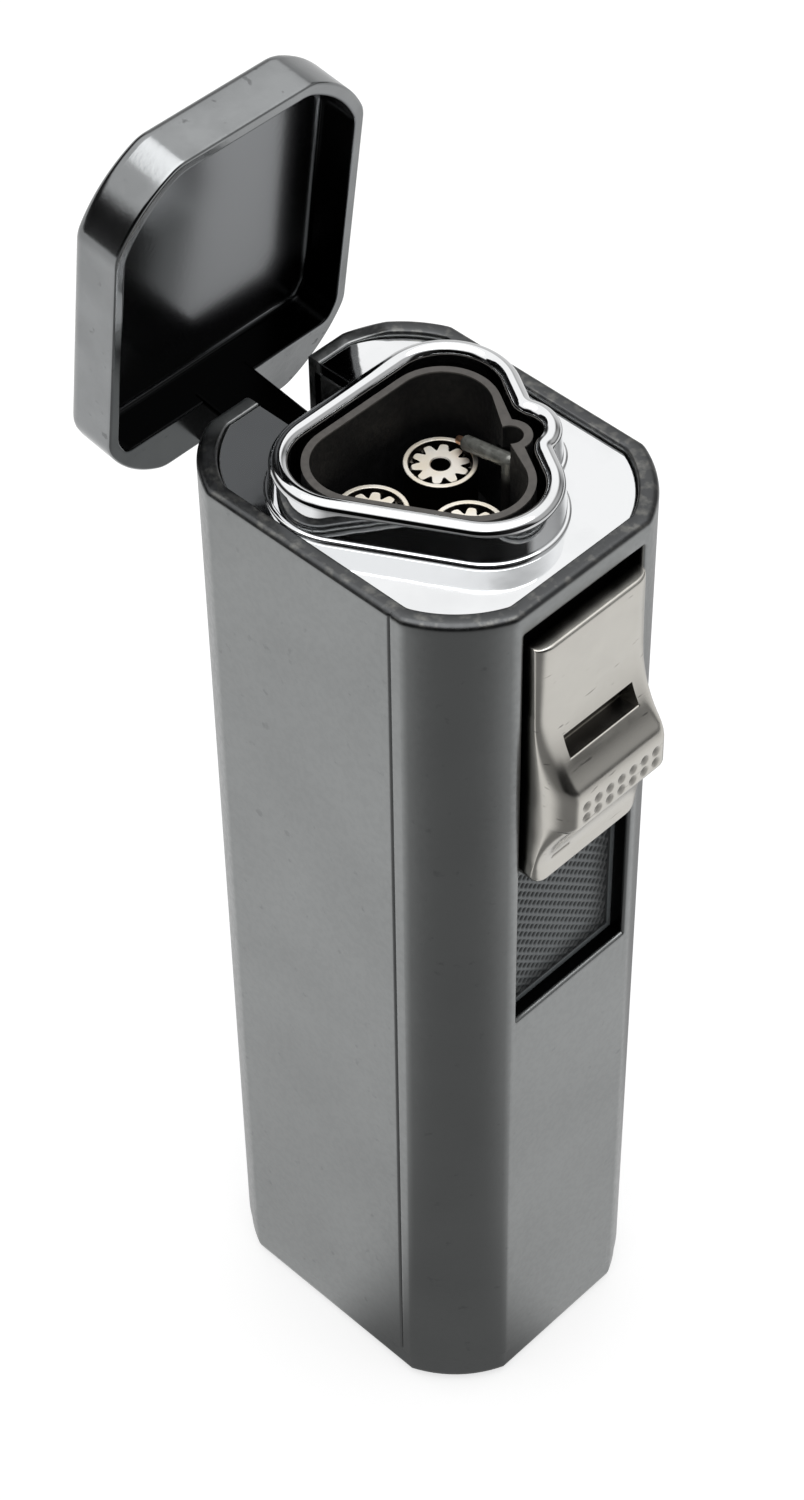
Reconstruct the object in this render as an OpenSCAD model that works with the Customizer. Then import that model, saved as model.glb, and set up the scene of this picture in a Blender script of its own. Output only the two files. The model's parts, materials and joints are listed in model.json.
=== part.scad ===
// Pocket jet lighter: three gas jets under a flip lid, lit by a thumb slide.
// Millimetres. The origin is the middle of the underside, +Z is up, the slide faces -Y.
// The lid is drawn open and the slide at the top of its window.

/* [Body] */
// Width of the body, side to side
body_w = 19.2; // [19:0.1:24]
// Depth of the body, slide face to hinge face
body_d = 23.3; // [23:0.1:28]
// Height of the rim above the underside
body_h = 70; // [70:0.5:80]
// Leg of the soft bevel on each upright corner
corner_leg = 4.4; // [3.6:0.1:5]
// Rise of the bevel's arc over its chord
corner_bulge = 0.6; // [0.3:0.05:1]
// Thickness of both shells
wall = 1.05; // [0.8:0.05:1.2]
// Thickness of the base plate
base_h = 2; // [1.8:0.1:3]
// Distance of the seam between the shells from the slide face
seam_back = 5.2; // [5.1:0.1:7]
// Depth of the chrome plate below the rim
rim_drop = 0.4; // [0.2:0.05:0.8]
// Thickness of the chrome plate
plate_t = 0.8; // [0.5:0.05:1]

/* [Slide] */
// Width of the window in the slide face
window_w = 9.4; // [9:0.1:9.8]
// Height of the window
window_h = 32; // [31:0.2:34]
// Gap between the window's upper edge and the rim
window_gap = 1.6; // [1.4:0.1:2]
// Thickness of the textured panel behind the window
panel_t = 0.7; // [0.5:0.05:0.9]
// Width of the thumb slide
slide_w = 8.7; // [8.2:0.1:8.8]
// Length of the thumb slide
slide_l = 18.7; // [18:0.1:20]
// Gap between the slide's upper end and the window's upper edge
slide_gap = 1.1; // [0.5:0.1:1.5]
// Height of the slide's plate over the slide face
slide_proud = 0.9; // [0.6:0.05:1.2]
// Height of the thumb ledge over the slide face
ledge_proud = 3.15; // [2.8:0.05:3.4]
// Travel of the slide
slide_travel = 6; // [4:0.25:6]

/* [Lid] */
// Distance of the lid's sides from the body's sides
lid_inset = 0.3; // [0.1:0.05:0.4]
// Height of the lid
lid_h = 3.45; // [3.3:0.05:5]
// Thickness of the lid's walls and top
lid_wall = 0.75; // [0.6:0.05:0.8]
// Rounding of the lid's upper edge
lid_round = 0.8; // [0.4:0.05:1.2]
// Opening angle at rest
lid_open = 82; // [70:1:85]
// Distance of the hinge pin from the hinge face
hinge_in = 1.8; // [1.7:0.05:2]
// Distance of the hinge pin below the rim
hinge_drop = 6; // [5.8:0.1:7]
// Diameter of the hinge pin
hinge_pin_d = 1.5; // [1.2:0.1:1.6]
// Width of the lid's hinge arm
arm_w = 4.1; // [3.5:0.1:4.5]

/* [Burner] */
// Diameter of a jet barrel
jet_d = 4.2; // [3.8:0.1:4.4]
// Depth of the jets' upper ends below the rim
jet_drop = 2.4; // [2:0.1:3]
// Wall of a jet barrel
jet_wall = 0.3; // [0.25:0.05:0.5]
// Petals of a star disc
petals = 10; // [8:1:14]
// Distance of the wind guard's foot from the plate's sides
guard_gap = 0.04; // [0.04:0.01:0.2]
// Inner corner radius of the wind guard
guard_in = 3.45; // [3.4:0.05:3.5]
// Width of the wind guard's ring
guard_t = 0.95; // [0.8:0.05:1]
// Height of the wind guard over the rim
guard_rise = 2; // [1.6:0.1:2.2]
// Step of the burner liner's corners inside those of the wind guard
liner_step = 0.8; // [0.7:0.05:1]
// Outer corner radius of the burner liner
liner_out = 3.3; // [3.2:0.05:3.35]
// Wall of the burner liner
liner_wall = 0.65; // [0.5:0.05:0.7]
// Depth of the liner's upper edge below the wind guard
liner_sink = 0.7; // [0.4:0.1:1]

/* [Mechanism] */
// Height of the fuel tank
tank_h = 20; // [16:0.5:20]
// Wall of the fuel tank
tank_wall = 1.3; // [1:0.1:1.5]
// Diameter of the piezo igniter
piezo_d = 7; // [6.4:0.1:7.2]
// Diameter of the piezo plunger
plunger_d = 4.4; // [4:0.1:4.6]
// Diameter of the gas valve
valve_d = 5.4; // [5:0.1:5.6]
// Diameter of the flame dial
dial_d = 5; // [4.4:0.1:5.4]
// Wire of the slide's return spring
spring_wire = 0.36; // [0.3:0.02:0.4]
// Turns of the slide's return spring
spring_turns = 9; // [7:1:10]

/* [Hidden] */

// Clearance between pieces that only sit beside each other
fit = 0.1;
// Clearance between pieces that move past each other
play = 0.15;
// Radial clearance of a pin or stem in its bore
bore_play = 0.05;
// Overlap of a cut past the face it cuts
cut = 1;
// Facets of round work
$fn = 64;

// Planes of the body
rim = body_h;
front = -body_d / 2;
back = body_d / 2;
in_front = front + wall;
in_back = back - wall;
seam = front + seam_back;
plate_top = rim - rim_drop;
plate_low = plate_top - plate_t;
inner = wall + fit;

// Window and slide
window_high = rim - window_gap;
window_low = window_high - window_h;
panel_lap = 1;
slide_high = window_high - slide_gap;
slide_low = slide_high - slide_l;
panel_back = in_front + panel_t;
slide_back = in_front - play;
stem_high = slide_low + 12;
stem_low = stem_high - 5;
stem_w = 4.4;
stem_z = (stem_low + stem_high) / 2;

// Side view of the slide: foot, slope, nose, crest and the hollow rise to the plate
foot_z = slide_low + 2.2;
nose_r = 0.7;
nose = [ledge_proud - nose_r, slide_low + 6.3];
rise_r = 7;
rise_z = slide_low + 13.7;
crest_h = ledge_proud - 0.25;
crest_z = rise_z - sqrt(pow(rise_r, 2) - pow(slide_proud + rise_r - crest_h, 2));
shoulder_w = 1.1;
lip_z = crest_z + 1.4;
pocket_w = slide_w - 3.1;
pocket_h = 1.5;
pocket_proud = 0.35;

// Carriage behind the panel
car_front = panel_back + play;
car_t = 2.8;
car_back = car_front + car_t;
car_w = 7.8;
car_low = slide_low + 1.4;
car_high = car_low + 11.5;
foot_low = car_low + 2;
foot_t = 2;
socket_t = 1.2;

// Tank, piezo igniter and valve
tank_low = base_h;
tank_high = tank_low + tank_h;
cover_t = 1.5;
cover_high = tank_high + cover_t;
piezo_gap = 0.55;
piezo_x = -3.4;
piezo_room = 0.25;
piezo_y = car_back + piezo_room + piezo_d / 2;
plunger_high = foot_low - bore_play;
piezo_high = plunger_high - slide_travel - 0.9;
piezo_low = cover_high + piezo_gap;
piezo_l = piezo_high - piezo_low;
plunger_in = 8;
valve_x = 3;
valve_in = 4.4;
valve_y = in_back - valve_in;
valve_high = car_low - 8;
valve_low = tank_low + 6;
flange_t = 1.5;
flange_d = valve_d + 1.6;
seal_d = valve_d + 1.2;
barb_r = 0.7;
barb_l = 1.9;
barb_z = valve_high - 1;
tube_r = 1.05;
tube_bend = 5;
tube_rise = 9;
lead_r = 0.5;
lead_rise = 13;
lead_drop = 7;
stem_d = 1.6;
stem_l = 12;
stem_bore_l = stem_l + 2;

// Lever: its tip lies under the carriage and its fork under the stem's head
lever_t = 1.9;
lever_back = 3.4;
lever_tip_y = car_front + 1.35;
lever_tip_r = 0.8;
lever_pivot_y = valve_y - lever_back;
lever_tip_z = car_low - fit - lever_tip_r;
lever_pivot_z = lever_tip_z - slide_travel / 2;
lever_arm = lever_pivot_y - lever_tip_y;
lever_angle = atan(slide_travel / 2 / lever_arm);
fork_arm = (valve_y - lever_pivot_y) / cos(lever_angle);
fork_r = 0.6;
fork_w = lever_t + 1.6;
fork_z = lever_pivot_z - fork_arm * sin(lever_angle);
lever_pin_d = 1.6;
lever_boss_r = 1.3;
cheek_t = 1.2;
lever_pin_l = lever_t + 2 * (play + cheek_t);
head_low = fork_z + fork_r + fit;
head_t = 1.2;
head_d = 3;

// Return spring of the slide
spring_x = -1.6;
spring_y = car_front + 1.5;
spring_r = 1;
spring_low = car_low - 12;
rings_per_turn = 8;

// Frame: a wall all round and three decks
frame_t = 1.2;
low_deck = piezo_low + 3;
mid_deck = spring_low + 1.5;
mid_deck_t = 5;

// Burner
corner_angles = [30, 150, 270];
jet_l = 7;
jet_foot = 3;
gas_bore_d = 0.8;
jet_high = rim - jet_drop;
jet_low = jet_high - jet_l;
guard_high = rim + guard_rise;
guard_flare = 0.2;
flare_t = 0.45;
spigot_t = 0.3;
guard_fillet = 1.3;
guard_reach = (body_w / 2 - inner - guard_gap - guard_in - guard_t - guard_flare) / cos(30);
liner_reach = guard_reach - liner_step;
jet_ring = (liner_reach + liner_out - liner_wall) / 2;
liner_high = guard_high - liner_sink;
liner_floor_t = 0.8;
liner_low = jet_low + 2;
manifold_low = jet_low - 3.5;
nipple_l = 3;
nipple = jet_ring * [cos(150), sin(150)];
lobe_side = [cos(-32.6), sin(-32.6)];
guard_lobe = (guard_reach / 2 + guard_in - 0.55) * lobe_side;
guard_lobe_r = 1.58;
liner_lobe = (liner_reach / 2 + liner_out - 0.45) * lobe_side;
liner_lobe_r = 1.25;

// Electrode: up the lobe, then down over the edge of the nearest jet
sleeve_r = 0.45;
lobe_bore_r = 0.75;
wire_r = 0.25;
spark_low = manifold_low + 2.5;
spark_bend = [liner_lobe.x, liner_lobe.y, jet_high + 1.8];
spark_end = [jet_ring * cos(30) + 1.6, jet_ring * sin(30) - 0.45, jet_high + 0.65];
spark_tip = spark_end + 0.7 * unit(spark_end - spark_bend);

// Hinge
hinge_y = back - hinge_in;
hinge_z = rim - hinge_drop;
arm_r = hinge_in - 0.05;
arm_front = hinge_y - arm_r;
notch_w = arm_w + 2 * 0.35;
notch_front = arm_front - play;
notch_low = hinge_z - arm_r - 0.65;
sill = hinge_z - arm_r - 0.1;
ear_t = 1.2;
hinge_block_w = notch_w + 2 * ear_t;
leaf_t = 0.35;
leaf_w = arm_w - 0.4;
lid_w = body_w - 2 * lid_inset;
lid_low = rim + 0.1;
ledge_y = arm_front + fit;
relief_y = hinge_y + 0.45;
relief_lean = 15;

// Underside
fill_in = 6;
fill_x = fill_in - body_w / 2;
fill_y = -3.4;
fill_d = 5;
fill_l = 8;
fill_hole_d = 3.4;
fill_tip = 0.8;
dial_x = valve_x;
dial_y = valve_y;
dial_low = 0.3;
dial_roof = base_h - 0.5;
dial_shaft_d = 2;
screw_spots = [[-5, 5.4], [5, -5.4]];
screw_d = 1.6;
screw_head_d = 3;
screw_head_t = 1;
screw_l = 6;

// A box with soft bevels on its corners: the bevel is an arc through both ends of its chord
module soft_box(w, d, leg, bulge) {
    r = (leg * leg / 2 + bulge * bulge) / (2 * bulge);
    reach = leg / 2 + (r - bulge) / sqrt(2);
    intersection() {
        square([w, d], center = true);
        union() {
            square([w, d - 2 * leg], center = true);
            square([w - 2 * leg, d], center = true);
            for (sx = [-1, 1], sy = [-1, 1])
                translate([sx * (w / 2 - reach), sy * (d / 2 - reach)]) circle(r, $fn = 96);
        }
    }
}

// Plan of the body, drawn in by an even distance
module outline(inset = 0) {
    leg = corner_leg - inset * (2 - sqrt(2));
    soft_box(body_w - 2 * inset, body_d - 2 * inset, leg, corner_bulge * leg / corner_leg);
}

// A triangle with round corners: its point faces the slide
module tri(reach, r) {
    corners = [for (a = corner_angles) reach * [cos(a), sin(a)]];
    for (c = corners) translate(c) circle(r);
    polygon([for (i = [0:2], turn = [-60, 60])
        corners[i] + r * [cos(corner_angles[i] + turn), sin(corner_angles[i] + turn)]]);
}

// The round triangle with the small lobe that holds the electrode
module trefoil(reach, r, lobe, lobe_r) {
    tri(reach, r);
    translate(lobe) circle(lobe_r);
}

// One thing at each jet
module at_jets() {
    for (a = corner_angles) rotate([0, 0, a]) translate([jet_ring, 0, 0]) children();
}

// A slab between two heights
module slab(low, high) {
    translate([0, 0, low]) linear_extrude(high - low) children();
}

// A box between two corners
module block(a, b) {
    translate(a) cube(b - a);
}

// A round bar along X about its middle
module bar_x(x, y, z, r, l) {
    translate([x - l / 2, y, z]) rotate([0, 90, 0]) cylinder(r = r, h = l);
}

// A round rod from one point to another
module rod(a, b, r) {
    v = b - a;
    translate(a) rotate([0, acos(v.z / norm(v)), atan2(v.y, v.x)]) cylinder(r = r, h = norm(v));
}

// A point on the curve that leaves a towards b and comes to d from c
function curve(a, b, c, d, t) = pow(1 - t, 3) * a + 3 * t * pow(1 - t, 2) * b
    + 3 * t * t * (1 - t) * c + pow(t, 3) * d;
function unit(v) = v / norm(v);

// A skin over rings of points, capped at both ends or joined to itself when the rings close
module skin(points, rings, sides, closed = false) {
    faces = [for (i = [0:rings - (closed ? 1 : 2)], j = [0:sides - 1])
        let (k = (j + 1) % sides, a = i * sides, b = (i + 1) % rings * sides)
        each [[a + j, b + k, b + j], [a + j, a + k, b + k]]];
    top = (rings - 1) * sides;
    ends = [for (j = [1:sides - 2]) each [[0, j + 1, j], [top, top + j, top + j + 1]]];
    polyhedron(points, closed ? faces : concat(faces, ends));
}

// A tube along a curve, with a ring at each step
module tube(a, b, c, d, r, rings = 20, sides = 8) {
    path = [for (i = [0:rings - 1]) curve(a, b, c, d, i / (rings - 1))];
    points = [for (i = [0:rings - 1])
        let (along = i == 0 ? b - a : i == rings - 1 ? d - c : path[i + 1] - path[i - 1],
            side = unit(cross(along, [0, 1, 0])), up = unit(cross(side, along)))
        for (j = [0:sides - 1]) path[i] + r * (cos(360 * j / sides) * side + sin(360 * j / sides) * up)];
    skin(points, rings, sides);
}

// Both shells before they are parted: the tube of the body
module shell() {
    slab(base_h, rim) difference() {
        outline();
        outline(wall);
    }
}

module front_half() {
    block([-body_w, front - cut, 0], [body_w, seam, rim + cut]);
}

// Front shell: slide face and both front corners, with the window
module front_shell() {
    bevel = wall * 0.25;
    color("dimgray") difference() {
        intersection() {
            shell();
            front_half();
        }
        block([-window_w / 2, front - cut, window_low], [window_w / 2, in_front + cut, window_high]);
        hull() {
            translate([0, front, (window_low + window_high) / 2]) {
                cube([window_w + bevel, 0.01, window_high - window_low + bevel], center = true);
                cube([window_w, 2 * bevel, window_high - window_low], center = true);
            }
        }
    }
}

// Rear shell: sides, hinge face with a relieved rim, and the block that carries the hinge pin
module rear_shell() {
    block_x = hinge_block_w / 2;
    color("dimgray") difference() {
        union() {
            difference() {
                shell();
                front_half();
            }
            intersection() {
                slab(base_h, rim) outline(wall / 2);
                block([-block_x, notch_front - ear_t, notch_low - ear_t], [block_x, back, plate_low]);
            }
        }
        block([-notch_w / 2, notch_front, notch_low], [notch_w / 2, in_back, rim + cut]);
        block([-notch_w / 2, notch_front, sill], [notch_w / 2, back + cut, rim + cut]);
        bar_x(0, hinge_y, hinge_z, hinge_pin_d / 2, 2 * block_x + cut);
        translate([-body_w, 0, 0]) rotate([90, 0, 90]) linear_extrude(2 * body_w)
            polygon([[relief_y, rim], [back + cut, rim - (back + cut - relief_y) * tan(relief_lean)],
                [back + cut, rim + cut], [relief_y, rim + cut]]);
    }
}

// Base plate with a rounded lower edge, and the holes for the filler, the dial and the screws
module base_plate() {
    edge = 0.6;
    color("dimgray") difference() {
        hull() {
            for (t = [0, 30, 60]) translate([0, 0, edge * (1 - cos(t))]) linear_extrude(0.01)
                outline(fit + edge * (1 - sin(t)));
            slab(edge, base_h) outline(fit);
        }
        translate([fill_x, fill_y, -cut]) cylinder(d = fill_hole_d, h = base_h + 2 * cut);
        translate([dial_x, dial_y, -cut]) cylinder(d = dial_d + 2 * play, h = dial_roof + cut);
        translate([dial_x, dial_y, -cut]) cylinder(d = dial_shaft_d + 2 * fit, h = base_h + 2 * cut);
        for (p = screw_spots) translate([p.x, p.y, -cut]) {
            cylinder(d = screw_d + 2 * bore_play, h = base_h + 2 * cut);
            cylinder(d = screw_head_d + 2 * fit, h = screw_head_t + fit + cut);
        }
    }
}

// Two countersunk screws that hold the base plate to the tank
module base_screws() {
    color("silver") for (p = screw_spots) translate([p.x, p.y, fit]) difference() {
        union() {
            cylinder(d = screw_head_d, h = screw_head_t);
            cylinder(d = screw_d, h = screw_l);
        }
        for (a = [0, 90]) rotate([0, 0, a]) cube([1.8, 0.4, 0.9], center = true);
    }
}

// Chrome plate under the rim, open for the burner and for the hinge arm
module top_plate() {
    color("gainsboro") difference() {
        slab(plate_low, plate_top) outline(inner);
        slab(plate_low - cut, plate_top + cut) polygon(guard_line(spigot_t + bore_play));
        block([-notch_w / 2, notch_front, 0], [notch_w / 2, back, rim]);
    }
}

// Inside edge of the wind guard, drawn out by an even distance: three corners, and between two of
// them the lobe, which two hollow fillets lead into
function arc(middle, r, from, to, steps) = [for (i = [0:steps])
    let (a = from + (to - from) * i / steps) middle + r * [cos(a), sin(a)]];
function guard_corner(i, out) = arc(guard_reach * [cos(corner_angles[i]), sin(corner_angles[i])],
    guard_in + out, corner_angles[i] - 60, corner_angles[i] + 60, 12);
function guard_line(out) =
    let (away = [cos(-30), sin(-30)], along = [cos(60), sin(60)],
        high = guard_reach / 2 + guard_in + guard_fillet,
        gap = sqrt(pow(guard_lobe_r + guard_fillet, 2) - pow(high - guard_lobe * away, 2)),
        before = high * away + (guard_lobe * along - gap) * along,
        after = before + 2 * gap * along,
        lean = atan2(guard_lobe.y - before.y, guard_lobe.x - before.x),
        hollow = guard_fillet - out)
    concat(guard_corner(2, out),
        arc(before, hollow, 150, lean, 6),
        arc(guard_lobe, guard_lobe_r + out, lean - 170, 110 - lean, 9),
        arc(after, hollow, 300 - lean, 150, 6),
        guard_corner(0, out), guard_corner(1, out));

// Wind guard: spigot, flared foot and wall, with a round top
module wind_guard() {
    crown = [for (t = [0:30:180]) [guard_t / 2 * (1 + cos(t)), guard_high - guard_t / 2 * (1 - sin(t))]];
    section = concat([[0, plate_low], [spigot_t, plate_low], [spigot_t, plate_top],
        [guard_t + guard_flare, plate_top], [guard_t + guard_flare, plate_top + flare_t],
        [guard_t, plate_top + flare_t]], crown);
    lines = [for (p = section) guard_line(p.x)];
    rings = len(lines[0]);
    sides = len(section);
    color("gainsboro") skin([for (i = [0:rings - 1], j = [0:sides - 1])
        [lines[j][i].x, lines[j][i].y, section[j].y]], rings, sides, closed = true);
}

// Burner liner: a cup round the jets, with a lobe that the electrode comes up in
module burner_liner() {
    color("#2a2a2a") difference() {
        slab(liner_low, liner_high) trefoil(liner_reach, liner_out, liner_lobe, liner_lobe_r);
        slab(liner_low + liner_floor_t, liner_high + cut) tri(liner_reach, liner_out - liner_wall);
        at_jets() translate([0, 0, liner_low - cut])
            cylinder(d = jet_d + 2 * bore_play, h = 2 * cut + liner_floor_t);
        translate([liner_lobe.x, liner_lobe.y, liner_low - cut])
            cylinder(r = lobe_bore_r, h = liner_high);
        rod(spark_bend, spark_end, sleeve_r + play);
    }
}

// Three jet barrels with a bored foot
module jet_barrels() {
    color("tan") at_jets() difference() {
        translate([0, 0, jet_low]) cylinder(d = jet_d, h = jet_high - jet_low);
        translate([0, 0, jet_low + jet_foot]) cylinder(d = jet_d - 2 * jet_wall, h = jet_l);
        translate([0, 0, jet_low - cut]) cylinder(d = gas_bore_d, h = jet_l);
    }
}

// Three star discs: round-ended petals round a hub, with gaps for the flame between them
module jet_discs() {
    disc_r = jet_d / 2 - jet_wall;
    petal_r = 2.9 / petals;
    color("wheat") at_jets() slab(jet_high - 1.1, jet_high - 0.15) intersection() {
        circle(disc_r);
        difference() {
            for (i = [0:petals - 1]) rotate(360 * i / petals) hull() {
                circle(petal_r, $fn = 20);
                translate([disc_r - petal_r + 0.08, 0]) circle(petal_r, $fn = 20);
            }
            circle(d = 1.1);
        }
    }
}

// Gas manifold under the jets, with a nipple for the gas tube
module gas_manifold() {
    color("goldenrod") difference() {
        union() {
            slab(manifold_low, jet_low) tri(jet_ring, jet_d / 2);
            translate([nipple.x, nipple.y, manifold_low - nipple_l]) cylinder(r = barb_r, h = nipple_l);
        }
        slab(jet_low - 1.6, jet_low - 0.8) tri(jet_ring, 0.6);
        at_jets() translate([0, 0, jet_low - 1.2]) cylinder(d = gas_bore_d, h = 1.2 + cut);
        translate([nipple.x, nipple.y, manifold_low - nipple_l - cut])
            cylinder(d = gas_bore_d, h = nipple_l + cut + 2.2);
    }
}

// Gas tube from the valve's barb up to the manifold's nipple
module gas_tube() {
    start = [valve_x - valve_d / 2 - barb_l, valve_y, barb_z];
    end = [nipple.x, nipple.y, manifold_low - nipple_l];
    color("lightgray") tube(start, start - [tube_bend, 0, 0], end - [0, 0, tube_rise], end, tube_r);
}

// A bent round run along the electrode's path
module spark_path(end, r) {
    rod([spark_bend.x, spark_bend.y, spark_low], spark_bend, r);
    translate(spark_bend) sphere(r);
    rod(spark_bend, end, r);
}

// Insulator of the electrode
module electrode_sleeve() {
    color("lightgray") difference() {
        spark_path(spark_end, sleeve_r);
        spark_path(spark_tip, wire_r);
    }
}

// Electrode wire, bare at its tip
module electrode_wire() {
    color("peru") spark_path(spark_tip, wire_r);
}

// Ignition lead from the piezo igniter to the electrode
module ignition_lead() {
    start = [piezo_x, piezo_y + piezo_d / 2 - 0.6, piezo_high];
    end = [spark_bend.x, spark_bend.y, spark_low];
    color("black") tube(start, start + [0, 0, lead_rise], end - [0, 0, lead_drop], end, lead_r);
}

// Textured panel behind the window, slotted for the slide's stem
module window_panel() {
    color("#3c3e40") difference() {
        slab(window_low - panel_lap, plate_low) intersection() {
            outline(wall + bore_play);
            translate([0, in_front + panel_t / 2])
                square([window_w + 2 * panel_lap, panel_t], center = true);
        }
        block([-stem_w / 2 - play, front, stem_low - slide_travel - play],
            [stem_w / 2 + play, 0, stem_high + play]);
    }
}

// Side view of the thumb slide, drawn as height over the slide face against height on the body
module slide_section() {
    foot = [slide_proud, foot_z];
    reach = norm(nose - foot);
    lean = atan2(nose.x - foot.x, nose.y - foot.y) + asin(nose_r / reach);
    slope_top = foot + sqrt(reach * reach - nose_r * nose_r) * [sin(lean), cos(lean)];
    depth = slide_back - front;
    translate([-depth, slide_low]) square([depth + slide_proud, slide_l]);
    translate(nose) circle(nose_r);
    difference() {
        polygon([[0, foot_z], foot, slope_top, nose + [nose_r, 0], [ledge_proud, crest_z - 0.5],
            [crest_h, crest_z], [crest_h, rise_z], [0, rise_z]]);
        translate([slide_proud + rise_r, rise_z]) circle(rise_r, $fn = 128);
    }
}

// Half of the slide's top view as far as the ledge: its end falls off in a round shoulder
function slide_side() = [for (a = [0:15:90])
    [slide_w / 2 - shoulder_w * (1 - sin(a)), -slide_proud - (ledge_proud - slide_proud) * cos(a)]];

// Thumb slide: a ledge with round shoulders, a pocket behind its lip, and the stem
module slide() {
    side = concat(slide_side(), [[slide_w / 2, wall]]);
    color("#b0aca4") difference() {
        union() {
            intersection() {
                translate([slide_w / 2, front, 0]) rotate([90, 0, -90])
                    linear_extrude(slide_w) slide_section();
                slab(slide_low, slide_high) translate([0, front])
                    polygon(concat(side, [for (i = [len(side) - 1:-1:0]) [-side[i].x, side[i].y]]));
            }
            block([-stem_w / 2, slide_back - fit, stem_low], [stem_w / 2, car_front + socket_t, stem_high]);
        }
        block([-pocket_w / 2, front - ledge_proud, lip_z],
            [pocket_w / 2, front - pocket_proud, lip_z + pocket_h]);
        translate([0, car_front + socket_t - 1.6, stem_z]) rotate([-90, 0, 0]) cylinder(d = screw_d, h = 2);
    }
}

// Carriage behind the panel, with a foot over the piezo plunger
module slide_carriage() {
    color("#333333") difference() {
        union() {
            block([-car_w / 2, car_front, car_low], [car_w / 2, car_back, car_high]);
            block([piezo_x - plunger_d / 2, car_back - fit, foot_low],
                [piezo_x + plunger_d / 2, piezo_y + plunger_d / 3, foot_low + foot_t]);
        }
        block([-stem_w / 2, car_front - cut, stem_low], [stem_w / 2, car_front + socket_t, stem_high]);
        translate([0, car_front, stem_z]) rotate([-90, 0, 0]) cylinder(d = screw_d, h = car_t + cut);
    }
}

// Screw through the carriage into the slide's stem
module slide_screw() {
    color("silver") translate([0, car_back, stem_z]) rotate([-90, 0, 0]) difference() {
        union() {
            cylinder(d = screw_head_d, h = 0.9);
            translate([0, 0, socket_t - car_t - 1.6]) cylinder(d = screw_d, h = car_t - socket_t + 1.6);
        }
        translate([0, 0, 0.9]) cube([screw_head_d + cut, 0.5, 0.8], center = true);
    }
}

// Return spring under the carriage: one helix between flat seats
module slide_spring() {
    rings = spring_turns * rings_per_turn + 1;
    rise = car_low - spring_low - spring_wire;
    sides = 6;
    points = [for (i = [0:rings - 1], j = [0:sides - 1])
        let (a = 360 * i / rings_per_turn, b = 360 * j / sides, r = spring_r + spring_wire / 2 * cos(b))
        [spring_x + r * cos(a), spring_y + r * sin(a),
            spring_low + spring_wire / 2 * (1 + sin(b)) + rise * i / (rings - 1)]];
    echo(spring_gap = rise / spring_turns - spring_wire);
    color("silver") skin(points, rings, sides);
}

// Piezo igniter: a sealed case with a bore for its plunger
module piezo_case() {
    color("#202020") translate([piezo_x, piezo_y, 0]) difference() {
        translate([0, 0, piezo_low]) cylinder(d = piezo_d, h = piezo_l);
        translate([0, 0, piezo_high - plunger_in - slide_travel - fit])
            cylinder(d = plunger_d + 2 * bore_play, h = piezo_l);
    }
}

module piezo_plunger() {
    color("ivory") translate([piezo_x, piezo_y, piezo_high - plunger_in])
        cylinder(d = plunger_d, h = plunger_high - piezo_high + plunger_in);
}

// Gas valve: hangs in the tank by its flange, with a side barb for the gas tube
module valve_body() {
    color("goldenrod") difference() {
        union() {
            translate([valve_x, valve_y, valve_low]) cylinder(d = valve_d, h = valve_high - valve_low);
            translate([valve_x, valve_y, cover_high]) cylinder(d = flange_d, h = flange_t);
            translate([valve_x - valve_d / 2 - barb_l, valve_y, barb_z]) rotate([0, 90, 0])
                cylinder(r = barb_r, h = barb_l + valve_d / 4);
        }
        translate([valve_x, valve_y, valve_high - stem_bore_l])
            cylinder(d = stem_d + 2 * bore_play, h = stem_bore_l + cut);
    }
}

// Sealing ring under the valve's flange
module valve_seal() {
    color("#151515") translate([valve_x, valve_y, tank_high]) rotate_extrude()
        translate([valve_d / 2, 0]) square([(seal_d - valve_d) / 2, cover_t]);
}

// Valve stem with the head that the lever lifts
module valve_stem() {
    color("silver") translate([valve_x, valve_y, 0]) {
        translate([0, 0, valve_high - stem_l]) cylinder(d = stem_d, h = head_low - valve_high + stem_l);
        translate([0, 0, head_low]) cylinder(d = head_d, h = head_t);
    }
}

// Valve lever: a bar on its pin, forked round the valve stem
module valve_lever() {
    tip_l = lever_arm / cos(lever_angle);
    bar_t = 0.8;
    fork_top = 0.1;
    fork_root = 0.8;
    fork_start = fork_arm - stem_d / 2 - 2 * play;
    color("darkgray") translate([valve_x, lever_pivot_y, lever_pivot_z]) rotate([-lever_angle, 0, 0])
        difference() {
            union() {
                block([-lever_t / 2, -tip_l, -bar_t / 2], [lever_t / 2, 0, bar_t / 2]);
                block([-lever_t / 2, 0, -bar_t / 2], [lever_t / 2, fork_arm, fork_top]);
                bar_x(0, 0, 0, lever_boss_r, lever_t);
                bar_x(0, -tip_l, 0, lever_tip_r, lever_t);
                block([-fork_w / 2, fork_start - fork_root, -bar_t / 2], [fork_w / 2, fork_arm, fork_top]);
                bar_x(0, fork_arm, 0, fork_r, fork_w);
            }
            bar_x(0, 0, 0, lever_pin_d / 2 + bore_play, 2 * lever_t);
            block([-stem_d / 2 - play, fork_start, -cut], [stem_d / 2 + play, fork_arm + cut, cut]);
        }
}

module lever_pin() {
    color("silver") bar_x(valve_x, lever_pivot_y, lever_pivot_z, lever_pin_d / 2, lever_pin_l);
}

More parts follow.
